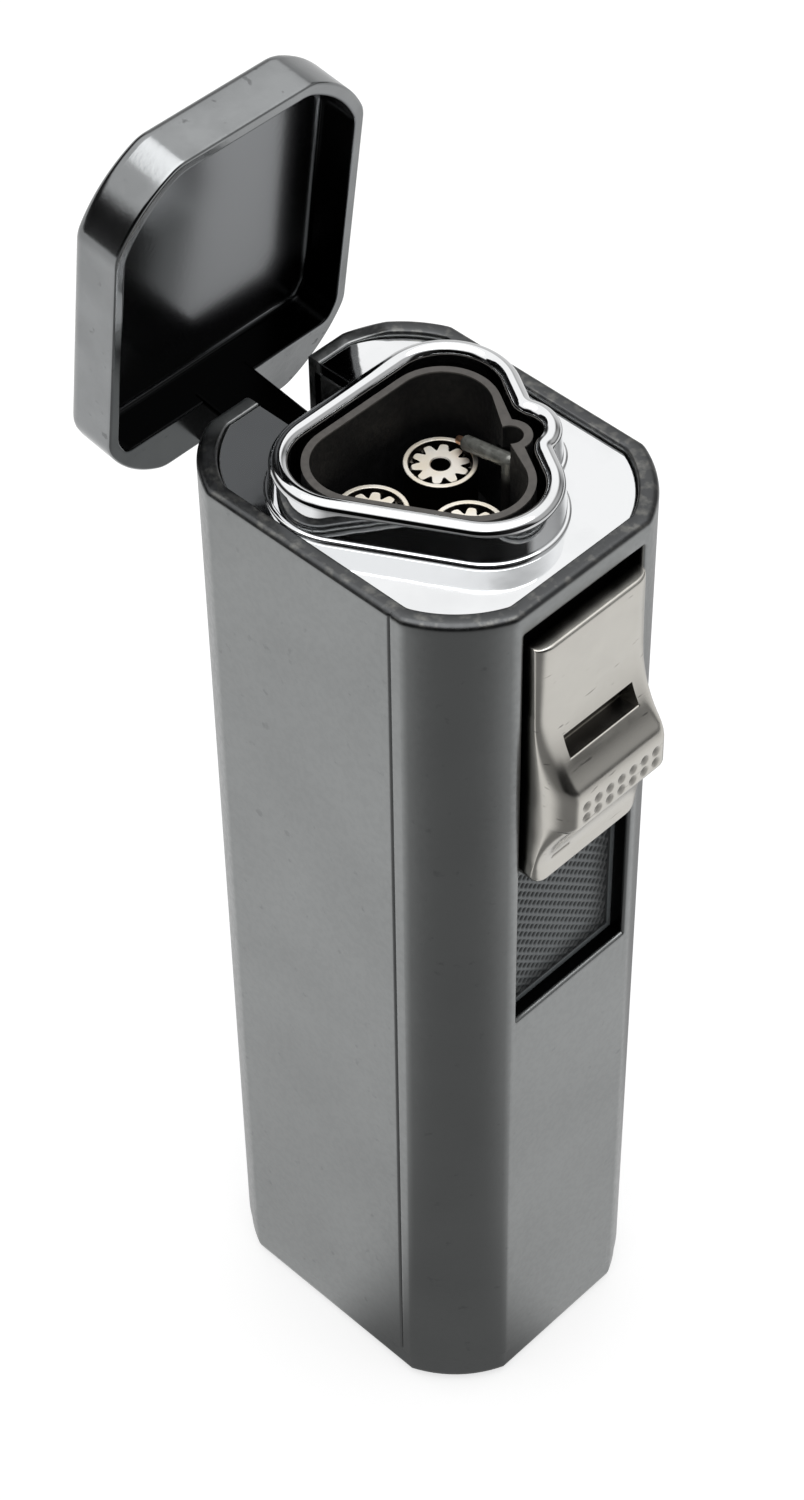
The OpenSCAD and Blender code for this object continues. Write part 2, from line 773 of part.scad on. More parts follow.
// Round bays of the frame for the piezo igniter, the valve and the return spring
module frame_bores() {
    translate([piezo_x, piezo_y, piezo_low]) cylinder(d = piezo_d + 2 * fit, h = rim);
    translate([valve_x, valve_y, cover_high - cut])
        cylinder(d = flange_d + 2 * fit, h = flange_t + fit + cut);
    translate([valve_x, valve_y, cover_high])
        cylinder(d = valve_d + 2 * fit, h = valve_high - cover_high + fit);
    translate([spring_x, spring_y, spring_low]) cylinder(r = spring_r + 0.3, h = rim);
}

// Moulded frame between tank and chrome plate: wall, decks and the cheeks of the lever
module chassis() {
    cheek_x = lever_t / 2 + play;
    color("#1e1e1e") difference() {
        union() {
            slab(cover_high, plate_low) difference() {
                outline(inner);
                outline(inner + frame_t);
            }
            slab(cover_high, low_deck) outline(inner);
            difference() {
                union() {
                    slab(mid_deck - mid_deck_t, mid_deck) outline(inner);
                    for (s = [-1, 1]) translate([valve_x + s * (cheek_x + cheek_t / 2), lever_pivot_y, 0])
                        block([-cheek_t / 2, -lever_boss_r, mid_deck - fit],
                            [cheek_t / 2, lever_boss_r, lever_pivot_z + lever_boss_r]);
                }
                bar_x(valve_x, lever_pivot_y, lever_pivot_z, lever_pin_d / 2, lever_pin_l + cut);
            }
            slab(jet_low, liner_low) outline(inner);
        }
        difference() {
            frame_bores();
            slab(jet_low, rim) outline();
        }
        at_jets() translate([0, 0, jet_low - cut]) cylinder(d = jet_d + 2 * fit, h = rim);
        translate([spark_bend.x, spark_bend.y, spark_low - cut]) cylinder(r = sleeve_r + play, h = rim);
        slab(window_low - panel_lap - fit, plate_low + cut) translate([0, front])
            square([window_w + 2 * panel_lap + 2 * fit, 2 * (wall + panel_t + fit)], center = true);
        block([-car_w / 2 - play, front, car_low - slide_travel - 2 * (lever_tip_r + play)],
            [car_w / 2 + play, car_back + 1.2, car_high + play]);
        block([-hinge_block_w / 2 - fit, notch_front - ear_t - fit, notch_low - ear_t - fit],
            [hinge_block_w / 2 + fit, back, rim]);
    }
}

// Fuel tank: a cup with bosses for the screws and the filler, and a sleeve for the dial's shaft
module tank() {
    floor_t = 1.5;
    color("#e8e4d8") difference() {
        union() {
            difference() {
                slab(tank_low, tank_high) outline(inner);
                slab(tank_low + floor_t, tank_high + cut) outline(inner + tank_wall);
            }
            for (p = screw_spots) translate([p.x, p.y, tank_low]) cylinder(d = screw_d + 2.2, h = screw_l);
            translate([fill_x, fill_y, tank_low]) cylinder(d = fill_d + 1.8, h = fill_l / 2);
            translate([dial_x, dial_y, tank_low]) cylinder(d = dial_shaft_d + 2, h = valve_low - tank_low);
        }
        for (p = screw_spots) translate([p.x, p.y, tank_low - cut])
            cylinder(d = screw_d, h = screw_l - tank_low + 2 * cut);
        translate([fill_x, fill_y, tank_low - cut]) cylinder(d = fill_d, h = fill_l);
        translate([dial_x, dial_y, tank_low - cut])
            cylinder(d = dial_shaft_d + 2 * bore_play, h = valve_low - tank_low + 2 * cut);
    }
}

module tank_cover() {
    color("#d8d4c8") difference() {
        slab(tank_high, cover_high) outline(inner);
        translate([valve_x, valve_y, tank_high - cut]) cylinder(d = seal_d, h = cover_t + 2 * cut);
    }
}

// Fill valve in the tank's floor
module fill_valve() {
    color("goldenrod") translate([fill_x, fill_y, tank_low]) difference() {
        cylinder(d = fill_d, h = fill_l);
        translate([0, 0, -cut]) cylinder(d = stem_d + 2 * bore_play, h = fill_l);
    }
}

module fill_stem() {
    color("silver") translate([fill_x, fill_y, fill_tip]) cylinder(d = stem_d, h = fill_l - 2.5);
}

// Flame dial: slotted head in the base plate, shaft up to the valve
module flame_dial() {
    color("#222222") translate([dial_x, dial_y, dial_low]) difference() {
        union() {
            cylinder(d = dial_d, h = dial_roof - fit - dial_low);
            cylinder(d = dial_shaft_d, h = valve_low - fit - dial_low);
        }
        cube([dial_d - 1, 0.8, 1.2], center = true);
    }
}

module hinge_pin() {
    color("silver") bar_x(0, hinge_y, hinge_z, hinge_pin_d / 2, hinge_block_w);
}

// Friction leaf under the hinge arm, turned up at the front
module lid_leaf() {
    color("silver") {
        block([-leaf_w / 2, notch_front, notch_low], [leaf_w / 2, in_back - fit, notch_low + leaf_t]);
        block([-leaf_w / 2, notch_front, notch_low], [leaf_w / 2, notch_front + leaf_t, notch_low + 0.9]);
    }
}

// Plan of the lid, drawn in by an even distance
module lid_outline(inset = 0) {
    leg = corner_leg - inset * (2 - sqrt(2));
    soft_box(lid_w - 2 * inset, body_d - 2 * inset, leg, corner_bulge * leg / corner_leg);
}

// Lid as it lies when shut: a shallow cap with a deep rear ledge and the hinge arm below it
module shut_lid() {
    ceiling = lid_low + lid_h - lid_wall;
    difference() {
        union() {
            hull() {
                slab(lid_low, lid_low + lid_h - lid_round) lid_outline();
                for (t = [30, 60, 90]) translate([0, 0, lid_low + lid_h - lid_round * (1 - sin(t)) - 0.01])
                    linear_extrude(0.01) lid_outline(lid_round * (1 - cos(t)));
            }
            block([-arm_w / 2, arm_front, hinge_z], [arm_w / 2, hinge_y + arm_r, lid_low + lid_wall]);
            bar_x(0, hinge_y, hinge_z, arm_r, arm_w);
        }
        intersection() {
            slab(lid_low - cut, ceiling) lid_outline(lid_wall);
            block([-body_w, front, 0], [body_w, ledge_y, 2 * body_h]);
        }
        bar_x(0, hinge_y, hinge_z, hinge_pin_d / 2 + bore_play, arm_w + cut);
    }
}

module lid() {
    color("#3a3c3e") translate([0, hinge_y, hinge_z]) rotate([-lid_open, 0, 0])
        translate([0, -hinge_y, -hinge_z]) shut_lid();
}

front_shell();
rear_shell();
base_plate();
base_screws();
top_plate();
wind_guard();
burner_liner();
jet_barrels();
jet_discs();
gas_manifold();
gas_tube();
electrode_sleeve();
electrode_wire();
ignition_lead();
window_panel();
slide();
slide_carriage();
slide_screw();
slide_spring();
piezo_case();
piezo_plunger();
valve_body();
valve_seal();
valve_stem();
valve_lever();
lever_pin();
chassis();
tank();
tank_cover();
fill_valve();
fill_stem();
flame_dial();
hinge_pin();
lid_leaf();
lid();
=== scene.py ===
"""Looks of a pocket jet lighter: plated shells, burner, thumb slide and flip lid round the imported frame."""

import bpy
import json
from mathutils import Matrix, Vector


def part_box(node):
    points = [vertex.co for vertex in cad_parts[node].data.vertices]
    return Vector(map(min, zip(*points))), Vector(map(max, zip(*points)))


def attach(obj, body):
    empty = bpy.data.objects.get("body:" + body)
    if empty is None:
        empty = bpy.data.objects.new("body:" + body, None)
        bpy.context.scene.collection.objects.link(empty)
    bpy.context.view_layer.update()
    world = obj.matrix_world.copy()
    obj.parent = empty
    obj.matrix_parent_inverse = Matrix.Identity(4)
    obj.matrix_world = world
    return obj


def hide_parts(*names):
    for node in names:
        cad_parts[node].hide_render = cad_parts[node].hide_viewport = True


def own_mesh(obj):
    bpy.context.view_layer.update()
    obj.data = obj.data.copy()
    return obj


bl_info = {
    "name": "Pocket jet lighter",
    "version": (1, 0, 0),
    "blender": (4, 5, 0),
    "location": "View3D > Sidebar > Lighter",
    "description": "Dresses the packed lighter with its shells, burner, slide, lid and finishes",
    "category": "Object",
}

import json
import math
from types import SimpleNamespace

import bmesh
import bpy
import numpy as np
from mathutils import Matrix

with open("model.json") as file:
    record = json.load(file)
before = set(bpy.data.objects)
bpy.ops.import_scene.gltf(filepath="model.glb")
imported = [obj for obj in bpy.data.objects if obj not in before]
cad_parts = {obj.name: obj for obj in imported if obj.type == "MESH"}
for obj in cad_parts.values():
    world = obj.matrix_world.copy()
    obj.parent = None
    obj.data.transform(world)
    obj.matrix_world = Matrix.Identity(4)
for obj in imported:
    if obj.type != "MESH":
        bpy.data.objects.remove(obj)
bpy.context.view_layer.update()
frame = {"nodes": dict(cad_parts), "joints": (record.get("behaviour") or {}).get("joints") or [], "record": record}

MM = 1000.0
SQRT2 = math.sqrt(2)
QUADRANTS = np.array([[1, 1], [-1, 1], [-1, -1], [1, -1]])


def span_mm(node):
    """Lowest and highest corner of a CAD node, in millimetres."""
    low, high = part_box(node)
    return np.array(low) * MM, np.array(high) * MM


# Main planes of the lighter, in millimetres, as the frame has them
FRONT_LOW, FRONT_HIGH = span_mm("front_shell")
REAR_HIGH = span_mm("rear_shell")[1]
PLATE_LOW, PLATE_HIGH = span_mm("top_plate")
PANEL_LOW, PANEL_HIGH = span_mm("window_panel")
SLIDE_LOW, SLIDE_HIGH = span_mm("slide")
GUARD_LOW, GUARD_HIGH = span_mm("wind_guard")
BODY_W = FRONT_HIGH[0] - FRONT_LOW[0]
BODY_D = REAR_HIGH[1] - FRONT_LOW[1]
FRONT, SEAM = FRONT_LOW[1], FRONT_HIGH[1]
BASE_TOP, RIM = FRONT_LOW[2], FRONT_HIGH[2]
WINDOW_W, WINDOW_LOW, WINDOW_HIGH = 9.4, RIM - 33.6, RIM - 1.6
POCKET_W, POCKET_LOW, POCKET_HIGH = 2.8, SLIDE_LOW[2] + 10.2, SLIDE_LOW[2] + 11.7
SLIDE_BACK = -0.8  # back of the slide's plate, measured out from the body's front
HINGE = next(np.array(j["pos_m"]) * MM for j in frame["joints"] if j["name"] == "lid_hinge")
LID_OPEN = math.radians(82)
# Burner: angles of its three corners, the guard's inner corner, wall and flare, the cup's corner and wall
CORNERS = (30, 150, 270)
GUARD_IN, GUARD_T, GUARD_FLARE = 3.45, 0.95, 0.2
LINER_OUT, LINER_WALL = 3.3, 0.65


def linear(code):
    """An sRGB hex colour as linear RGBA."""
    part = np.array([int(code[i : i + 2], 16) for i in (1, 3, 5)]) / 255
    part = np.where(part <= 0.04045, part / 12.92, ((part + 0.055) / 1.055) ** 2.4)
    return (*[float(x) for x in part], 1.0)


def length(name, description, size):
    """A size property: given in millimetres, kept in metres."""
    return bpy.props.FloatProperty(
        name=name, description=description, default=size / MM, min=0.0, unit="LENGTH", precision=5
    )


def paint(name, description, code):
    """A colour property from an sRGB hex value."""
    return bpy.props.FloatVectorProperty(
        name=name, description=description, default=linear(code), size=4, min=0.0, max=1.0, subtype="COLOR"
    )


class LighterShape(bpy.types.PropertyGroup):
    """Sizes of the visible pieces"""

    wall: length("Wall", "Thickness of the shells", 1.05)
    corner_leg: length("Bevel leg", "Leg of the soft bevel on each upright corner", 4.4)
    corner_bulge: length("Bevel bulge", "Rise of the bevel's arc over its chord", 0.6)
    corner_ease: length("Bevel easing", "Width over which a bevel runs into the flat sides", 0.4)
    rim_round: length("Rim rounding", "Rounding of the shells' upper outer edge", 0.4)
    seam_round: length("Seam rounding", "Rounding of the shells along their seam", 0.2)
    notch_w: length("Notch width", "Width of the notch for the lid's arm", 4.8)
    lid_h: length("Lid height", "Height of the lid", 3.45)
    lid_wall: length("Lid wall", "Thickness of the lid's wall and top", 0.75)
    lid_round: length("Lid rounding", "Rounding of the lid's upper edge", 0.8)
    lid_ease: length("Lid bevel easing", "Width over which the lid's bevels run into its sides", 0.9)
    dimple_depth: length("Dimple depth", "Depth of the grip dimples on the slide's nose", 0.12)
    hatch_depth: length("Hatch depth", "Depth of the hatch in the panel behind the slide", 0.09)


class LighterFinish(bpy.types.PropertyGroup):
    """Colours of the finishes"""

    body: paint("Body", "Satin graphite plating", "#969898")
    body_worn: paint("Worn edge", "Where handling has taken the plating down", "#525354")
    rim_bare: paint("Bare rim", "Zinc that shows where the rim is rubbed", "#8C8B86")
    lid: paint("Lid", "Polished gunmetal plating", "#9A9C9D")
    lid_inside: paint("Lid inside", "Duller plating in the lid's hollow", "#8A8C8E")
    chrome: paint("Chrome", "Mirror plating of the plate and the wind guard", "#F3F4F5")
    slide: paint("Slide", "Warm bright nickel", "#D2CFC8")
    panel: paint("Panel", "Dark moulded panel", "#74797B")
    liner: paint("Liner", "Black oxide of the burner's cup", "#141415")
    liner_edge: paint("Liner edge", "Rubbed upper edge of the burner's cup", "#5F5C59")
    jet: paint("Jets", "Turned steel", "#F8F4EC")


class LighterStage(bpy.types.PropertyGroup):
    """Floor and light"""

    floor: paint("Floor", "Plain pale floor", "#F4F4F4")
    lamp_power: bpy.props.FloatProperty(
        name="Lamp power",
        description="Power of the large soft lamp overhead",
        default=3.0,
        min=0.0,
        unit="POWER",
    )
    room: bpy.props.FloatProperty(
        name="Room",
        description="Brightest wall of the room in the metal, as a share of white",
        default=0.42,
        min=0.0,
        max=1.0,
        subtype="FACTOR",
    )


def sizes_mm(scene):
    """The sizes of the visible pieces by name, in millimetres."""
    shape = scene.lighter_shape
    return SimpleNamespace(**{name: getattr(shape, name) * MM for name in LighterShape.__annotations__})


def smooth_arc(start, end, count):
    """Angles in radians from start to end degrees."""
    return np.radians(np.linspace(start, end, count))


def ways(turn):
    """Unit directions in plan at angles in radians."""
    return np.stack([np.cos(turn), np.sin(turn)], -1)


def heading(angle):
    """Unit direction in plan at an angle in degrees."""
    return ways(math.radians(angle))


def shoulder(distance, r):
    """Fall of a rounded edge: nothing beyond its radius, and a quarter circle down to the edge itself."""
    inside = 1 - np.clip(distance / r, 0, 1)
    return r * (1 - np.sqrt(np.maximum(0, 1 - inside**2)))


def quarters(r, turn):
    """Points of a quarter round at given angles, each as its distance from the side and from the end."""
    return list(zip(r * (1 - np.cos(turn)), r * (1 - np.sin(turn))))


def right_of(along):
    """Unit directions to the right of the given ones."""
    return np.stack([along[:, 1], -along[:, 0]], -1) / np.linalg.norm(along, axis=1)[:, None]


def raised(flat, height):
    """Points of a plan with their heights."""
    return np.concatenate([flat, np.broadcast_to(height, flat.shape[:-1])[..., None]], -1)


def edge_steps(width):
    """Distances from an edge at which a rounding of that width needs lines."""
    return width * (1 - np.sin(smooth_arc(90, 0, 5)))


def lengths(line):
    """Run along a line at each of its points."""
    return np.concatenate([[0], np.cumsum(np.linalg.norm(np.diff(line, axis=0), axis=1))])


def eased(line, at, width, period=None):
    """Points of a line at given runs along it, each the mean over a width, so that corners are eased."""
    spread = np.asarray(at)[:, None] + width * np.linspace(-0.5, 0.5, 13)
    run = lengths(line)
    return np.stack([np.interp(spread, run, line[:, k], period=period).mean(1) for k in (0, 1)], -1)


def outward(verts, quads, tris):
    """The same solid with all faces turned so that its volume is positive."""
    fans = np.vstack([quads[:, [0, 1, 2]], quads[:, [0, 2, 3]], tris])
    a, b, c = (verts[fans[:, i]] for i in range(3))
    if np.einsum("ij,ij->i", a, np.cross(b, c)).sum() < 0:
        quads, tris = quads[:, ::-1], tris[:, ::-1]
    return verts, quads, tris


def lofted(levels, ring=False):
    """Skin over closed levels of equal count. Its two ends close on their middles, or on each other as a
    ring."""
    m, n = levels.shape[:2]
    index = np.arange(m * n).reshape(m, n)
    after = np.roll(index, -1, axis=1)
    stack = np.stack([index, after, np.roll(after, -1, axis=0), np.roll(index, -1, axis=0)], -1)
    quads = (stack if ring else stack[:-1]).reshape(-1, 4)
    verts = levels.reshape(-1, 3)
    tris = np.empty((0, 3), int)
    if not ring:
        verts = np.vstack([verts, levels[0].mean(0), levels[-1].mean(0)])
        low, high = np.full(n, m * n), np.full(n, m * n + 1)
        first, last = [after[0], index[0], low], [index[-1], after[-1], high]
        tris = np.vstack([np.stack(first, -1), np.stack(last, -1)])
    return outward(verts, quads, tris)


def walled(outer, inner, keep):
    """Two like grids closed into one solid: both skins over the kept cells, and a wall along each open
    edge."""
    rows, cols = outer.shape[:2]
    index = np.arange(rows * cols).reshape(rows, cols)
    corners = [index[:-1, :-1], index[:-1, 1:], index[1:, 1:], index[1:, :-1]]
    skin = np.stack(corners, -1)[keep]
    padded = np.pad(keep, 1)
    beside = [padded[:-2, 1:-1], padded[1:-1, 2:], padded[2:, 1:-1], padded[1:-1, :-2]]
    walls = []
    for k in range(4):
        open_edge = keep & ~beside[k]
        p, q = corners[k][open_edge], corners[(k + 1) % 4][open_edge]
        walls.append(np.stack([q, p, p + rows * cols, q + rows * cols], -1))
    quads = np.vstack([skin, skin[:, ::-1] + rows * cols, *walls])
    verts = np.vstack([outer.reshape(-1, 3), inner.reshape(-1, 3)])
    used = np.unique(quads)
    place = np.zeros(len(verts), int)
    place[used] = np.arange(len(used))
    return outward(verts[used], place[quads], np.empty((0, 3), int))


def joined(*solids):
    """Several solids as one set of points and faces."""
    start = np.cumsum([0] + [len(s[0]) for s in solids])[:-1]
    return (
        np.vstack([s[0] for s in solids]),
        np.vstack([s[1] + o for s, o in zip(solids, start)]),
        np.vstack([s[2] + o for s, o in zip(solids, start)]),
    )


def put(node, solid, material, body, sharp=42):
    """Makes a piece from a solid in millimetres: smooth faces, sharp at steep edges, riding on its body."""
    verts, quads, tris = solid
    mesh = bpy.data.meshes.new(node + "_piece")
    mesh.from_pydata((verts / MM).tolist(), [], quads.tolist() + tris.tolist())
    if mesh.validate():
        raise RuntimeError(node + " has faces that are not valid")
    return finish_piece(node, mesh, material, body, sharp)


def finish_piece(node, mesh, material, body, sharp):
    """Links a mesh as a piece with its material and body, in place of the CAD node it stands for."""
    mesh.polygons.foreach_set("use_smooth", np.ones(len(mesh.polygons), bool))
    mesh.set_sharp_from_angle(angle=math.radians(sharp))
    piece = bpy.data.objects.new(node + "_piece", mesh)
    bpy.context.scene.collection.objects.link(piece)
    mesh.materials.append(material)
    weighted = piece.modifiers.new("Flat faces stay flat", "WEIGHTED_NORMAL")
    weighted.keep_sharp = True
    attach(piece, body)
    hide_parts(node)
    return piece


def mark(piece, name, values):
    """Stores one value per point for the material to read."""
    piece.data.attributes.new(name, "FLOAT", "POINT").data.foreach_set("value", values)


def softened(node, material, body, width, sharp=30):
    """A copy of a CAD solid with merged corners and a fine bevel on its edges."""
    source = frame["nodes"][node]
    mesh = source.data.copy()
    mesh.materials.clear()
    work = bmesh.new()
    work.from_mesh(mesh)
    bmesh.ops.remove_doubles(work, verts=work.verts, dist=1e-7)
    bmesh.ops.dissolve_limit(
        work, angle_limit=math.radians(0.3), verts=work.verts, edges=work.edges, use_dissolve_boundaries=False
    )
    work.to_mesh(mesh)
    work.free()
    piece = finish_piece(node, mesh, material, body, sharp)
    if width:
        bevel = piece.modifiers.new("Broken edges", "BEVEL")
        bevel.width = width / MM
        bevel.segments = 2
        bevel.limit_method = "ANGLE"
        bevel.angle_limit = math.radians(sharp)
        bevel.harden_normals = False
        piece.modifiers.move(1, 0)
    return piece


def add(tree, kind, links=None, **settings):
    """Adds a shader node: settings are its own values, links are its inputs as sockets or constants."""
    made = tree.nodes.new(kind)
    for key, value in settings.items():
        setattr(made, key, value)
    for key, value in (links or {}).items():
        if isinstance(value, bpy.types.NodeSocket):
            tree.links.new(value, made.inputs[key])
        else:
            made.inputs[key].default_value = value
    return made


def finish_of(name, **constants):
    """A new material with its shader, and the Object coordinates in millimetres."""
    made = bpy.data.materials.new(name)
    made.use_nodes = True
    tree = made.node_tree
    shader = tree.nodes["Principled BSDF"]
    for key, value in constants.items():
        shader.inputs[key.replace("_", " ")].default_value = value
    place = add(tree, "ShaderNodeTexCoord").outputs["Object"]
    scaled = add(tree, "ShaderNodeVectorMath", {0: place, 1: (MM, MM, MM)}, operation="MULTIPLY")
    return made, tree, shader, scaled.outputs[0]


def blend(tree, share, first, second):
    """A colour between two, by a share."""
    return add(
        tree, "ShaderNodeMix", {0: share, 6: first, 7: second}, data_type="RGBA", clamp_factor=True
    ).outputs[2]


def cloud(tree, place, size, detail=3.0, low=0.35, high=0.65):
    """Soft noise of a real size in millimetres, spread to the range 0 to 1."""
    noise = add(tree, "ShaderNodeTexNoise", {"Vector": place, "Scale": 1 / size, "Detail": detail})
    return add(
        tree, "ShaderNodeMapRange", {"Value": noise.outputs["Fac"], "From Min": low, "From Max": high}
    ).outputs["Result"]


def between(tree, value, low, high, out_low=0.0, out_high=1.0):
    """A value mapped from one range to another, and held at its ends."""
    return add(
        tree,
        "ShaderNodeMapRange",
        {"Value": value, "From Min": low, "From Max": high, "To Min": out_low, "To Max": out_high},
        interpolation_type="SMOOTHSTEP",
    ).outputs["Result"]


def axes(tree, place):
    """The three coordinates of a place."""
    return add(tree, "ShaderNodeSeparateXYZ", {0: place}).outputs[:]


def dot(tree, first, second):
    """Scalar product of two directions."""
    return add(tree, "ShaderNodeVectorMath", {0: first, 1: second}, operation="DOT_PRODUCT").outputs["Value"]


def value_of(tree, operation, first, second=0.0):
    """A product, a maximum or another operation on values."""
    return add(tree, "ShaderNodeMath", {0: first, 1: second}, operation=operation).outputs[0]


def either(tree, share, first, second):
    """A value between two, by a share."""
    return add(tree, "ShaderNodeMix", {0: share, 2: first, 3: second}, data_type="FLOAT").outputs[0]


def stored(tree, name):
    """A value that mark() has stored on the piece's points."""
    return add(tree, "ShaderNodeAttribute", attribute_name=name).outputs["Fac"]


def surface_way(tree):
    """The surface's direction in the object's frame."""
    return add(tree, "ShaderNodeTexCoord").outputs["Normal"]


def ray_kinds(tree):
    """Whether a ray is a mirrored one, and whether the camera sees along it straight or through glass."""
    path = add(tree, "ShaderNodeLightPath").outputs
    seen = value_of(tree, "MAXIMUM", path["Is Camera Ray"], path["Is Transmission Ray"])
    return path["Is Glossy Ray"], seen


def darker(colour, share):
    """A colour with only a share of its light."""
    return [c * share for c in colour[:3]] + [1]


def coat(tree, shader, tone, rough, height=None, depth=0.0):
    """Gives a shader its colour and roughness, and small relief of a depth in millimetres."""
    tree.links.new(tone, shader.inputs["Base Color"])
    tree.links.new(rough, shader.inputs["Roughness"])
    if height is not None:
        bump = add(tree, "ShaderNodeBump", {"Strength": 1.0, "Distance": depth / MM, "Height": height})
        tree.links.new(bump.outputs["Normal"], shader.inputs["Normal"])


def satin_graphite(finish):
    """Zinc with satin graphite plating: grey soft reflections, faint clouds, fine specks, a darker rubbed
    rim, and painted shade that turns the window's cut faces black."""
    made, tree, shader, place = finish_of("Satin graphite plating", Metallic=1.0)
    x, y, z = axes(tree, place)
    fine = cloud(tree, place, 0.35, 2.0)
    broad = cloud(tree, place, 9.0)
    grime = cloud(tree, place, 0.9, 5.0, 0.66, 0.74)
    tone = blend(tree, broad, darker(finish.body, 0.93), finish.body)
    tone = blend(tree, value_of(tree, "MULTIPLY", grime, 0.22), tone, finish.body_worn)
    high = between(tree, z, RIM - 0.34, RIM - 0.12)
    rubbed = cloud(tree, place, 0.6, 4.0, 0.5, 0.95)
    tone = blend(tree, high, tone, blend(tree, rubbed, finish.body_worn, finish.rim_bare))
    # Painted shade: the faces cut through for the window, inside the opening, turn near black
    cut = between(tree, y, FRONT + 0.2, FRONT + 0.35)
    cut = between(tree, y, FRONT + 1.2, FRONT + 1.25, cut, 0.0)
    across, side = value_of(tree, "ABSOLUTE", x), WINDOW_W / 2
    cut = between(tree, across, side + 0.02, side + 0.04, cut, 0.0)
    cut = between(tree, z, WINDOW_LOW - 0.04, WINDOW_LOW - 0.02, 0.0, cut)
    cut = between(tree, z, WINDOW_HIGH + 0.02, WINDOW_HIGH + 0.04, cut, 0.0)
    tone = blend(tree, cut, tone, linear("#141516"))
    coat(tree, shader, tone, between(tree, fine, 0, 1, 0.3, 0.37), fine, 0.0012)
    return made


def polished_gunmetal(finish):
    """Zinc with polished gunmetal plating: glossier than the body with a hairline haze and small nicks,
    duller in the hollow, with painted shade that turns the hollow's walls and the arm black."""
    made, tree, shader, place = finish_of("Polished gunmetal plating", Metallic=1.0)
    haze = cloud(tree, place, 3.0, 4.0)
    fine = cloud(tree, place, 0.3, 2.0)
    nicks = cloud(tree, place, 0.7, 5.0, 0.66, 0.72)
    tone = blend(tree, haze, darker(finish.lid, 0.85), finish.lid)
    tone = blend(tree, nicks, tone, darker(finish.lid, 0.6))
    open_way = (0, -math.sin(LID_OPEN), -math.cos(LID_OPEN))
    # Painted shade: in the hollow and on the arm, faces that turn away from the opening darken to black
    deep = between(tree, dot(tree, surface_way(tree), open_way), 0.6, 0.95, 0.04, 1.0)
    bare = finish.lid_inside[:3]
    hollow = add(tree, "ShaderNodeVectorMath", {0: bare, 3: deep}, operation="SCALE").outputs[0]
    inside = stored(tree, "hollow")
    gloss = between(tree, haze, 0, 1, 0.14, 0.2)
    tone = blend(tree, inside, tone, hollow)
    coat(tree, shader, tone, between(tree, inside, 0, 1, gloss, 0.2), fine, 0.001)
    return made


def mirror_chrome(finish):
    """Chrome on stamped steel: a near mirror, with a faint ripple and dull fingerprints."""
    made, tree, shader, place = finish_of("Mirror chrome plating", Metallic=1.0)
    ripple = cloud(tree, place, 2.4, 2.0)
    smear = cloud(tree, place, 5.0, 4.0, 0.5, 0.7)
    tone = blend(tree, smear, finish.chrome, darker(finish.chrome, 0.94))
    coat(tree, shader, tone, between(tree, smear, 0, 1, 0.05, 0.1), ripple, 0.004)
    return made


def bright_nickel(finish):
    """Bright nickel on zinc: warm soft mirror, with a few short scuffs across, and painted shade in its
    hollows, on its upper end and on its sides."""
    made, tree, shader, place = finish_of("Bright nickel plating", Metallic=1.0)
    haze = cloud(tree, place, 2.5, 4.0)
    slant = {"Vector": place, "Rotation": (0, 0.6, 0), "Scale": (0.5, 1.0, 4.0)}
    scuff = cloud(tree, add(tree, "ShaderNodeMapping", slant).outputs[0], 0.9, 2.0, 0.69, 0.73)
    tone = blend(tree, haze, darker(finish.slide, 0.92), finish.slide)
    tone = blend(tree, scuff, tone, darker(finish.slide, 0.55))
    # Painted shade: darker in the dimples, groove and pocket, black on the upper end and the sides
    tone = blend(tree, stored(tree, "grime"), tone, linear("#221F1C"))
    coat(tree, shader, tone, between(tree, haze, 0, 1, 0.2, 0.27), haze, 0.003)
    return made


def hatched_moulding(finish):
    """Moulded plastic panel: grey with dull hatch strokes darkened by painted shade, a little shiny between
    them, and painted shade along its lower and right edges."""
    made, tree, shader, place = finish_of("Hatched black moulding", IOR=1.5)
    x, y, z = axes(tree, place)
    # Painted shade in the sunk hatch strokes and in the moat round them
    deep = between(tree, y, PANEL_LOW[1], PANEL_LOW[1] + 0.09)
    grain = cloud(tree, place, 0.25, 2.0)
    ridge = blend(tree, grain, darker(finish.panel, 0.85), finish.panel)
    tone = blend(tree, deep, ridge, darker(finish.panel, 0.12))
    low, side = WINDOW_LOW, WINDOW_W / 2
    # Painted shade along the lower and right edges, under the window's edge, clear of the ridge
    edge_shade = between(tree, z, low + 0.3, low + 2.6, 1.0, 0.0)
    edge_shade = between(tree, x, side - 2.4, side - 0.4, edge_shade, 1.0)
    edge_shade = between(tree, z, low + 0.28, low + 0.34, 0.0, edge_shade)
    edge_shade = between(tree, x, side - 0.34, side - 0.28, edge_shade, 0.0)
    tone = blend(tree, edge_shade, tone, darker(finish.panel, 0.16))
    coat(tree, shader, tone, between(tree, deep, 0, 1, 0.38, 0.6))
    return made


def black_oxide(finish):
    """Steel with black oxide: dead black inside, rubbed grey on the upper edge."""
    made, tree, shader, place = finish_of("Black oxide on steel", Metallic=0.3)
    top = span_mm("burner_liner")[1][2]
    edge = between(tree, axes(tree, place)[2], top - 0.14, top - 0.06)
    grain = cloud(tree, place, 0.4, 4.0)
    rubbed = blend(tree, grain, darker(finish.liner_edge, 0.7), finish.liner_edge)
    tone = blend(tree, edge, finish.liner, rubbed)
    coat(tree, shader, tone, between(tree, grain, 0, 1, 0.55, 0.7), grain, 0.008)
    return made


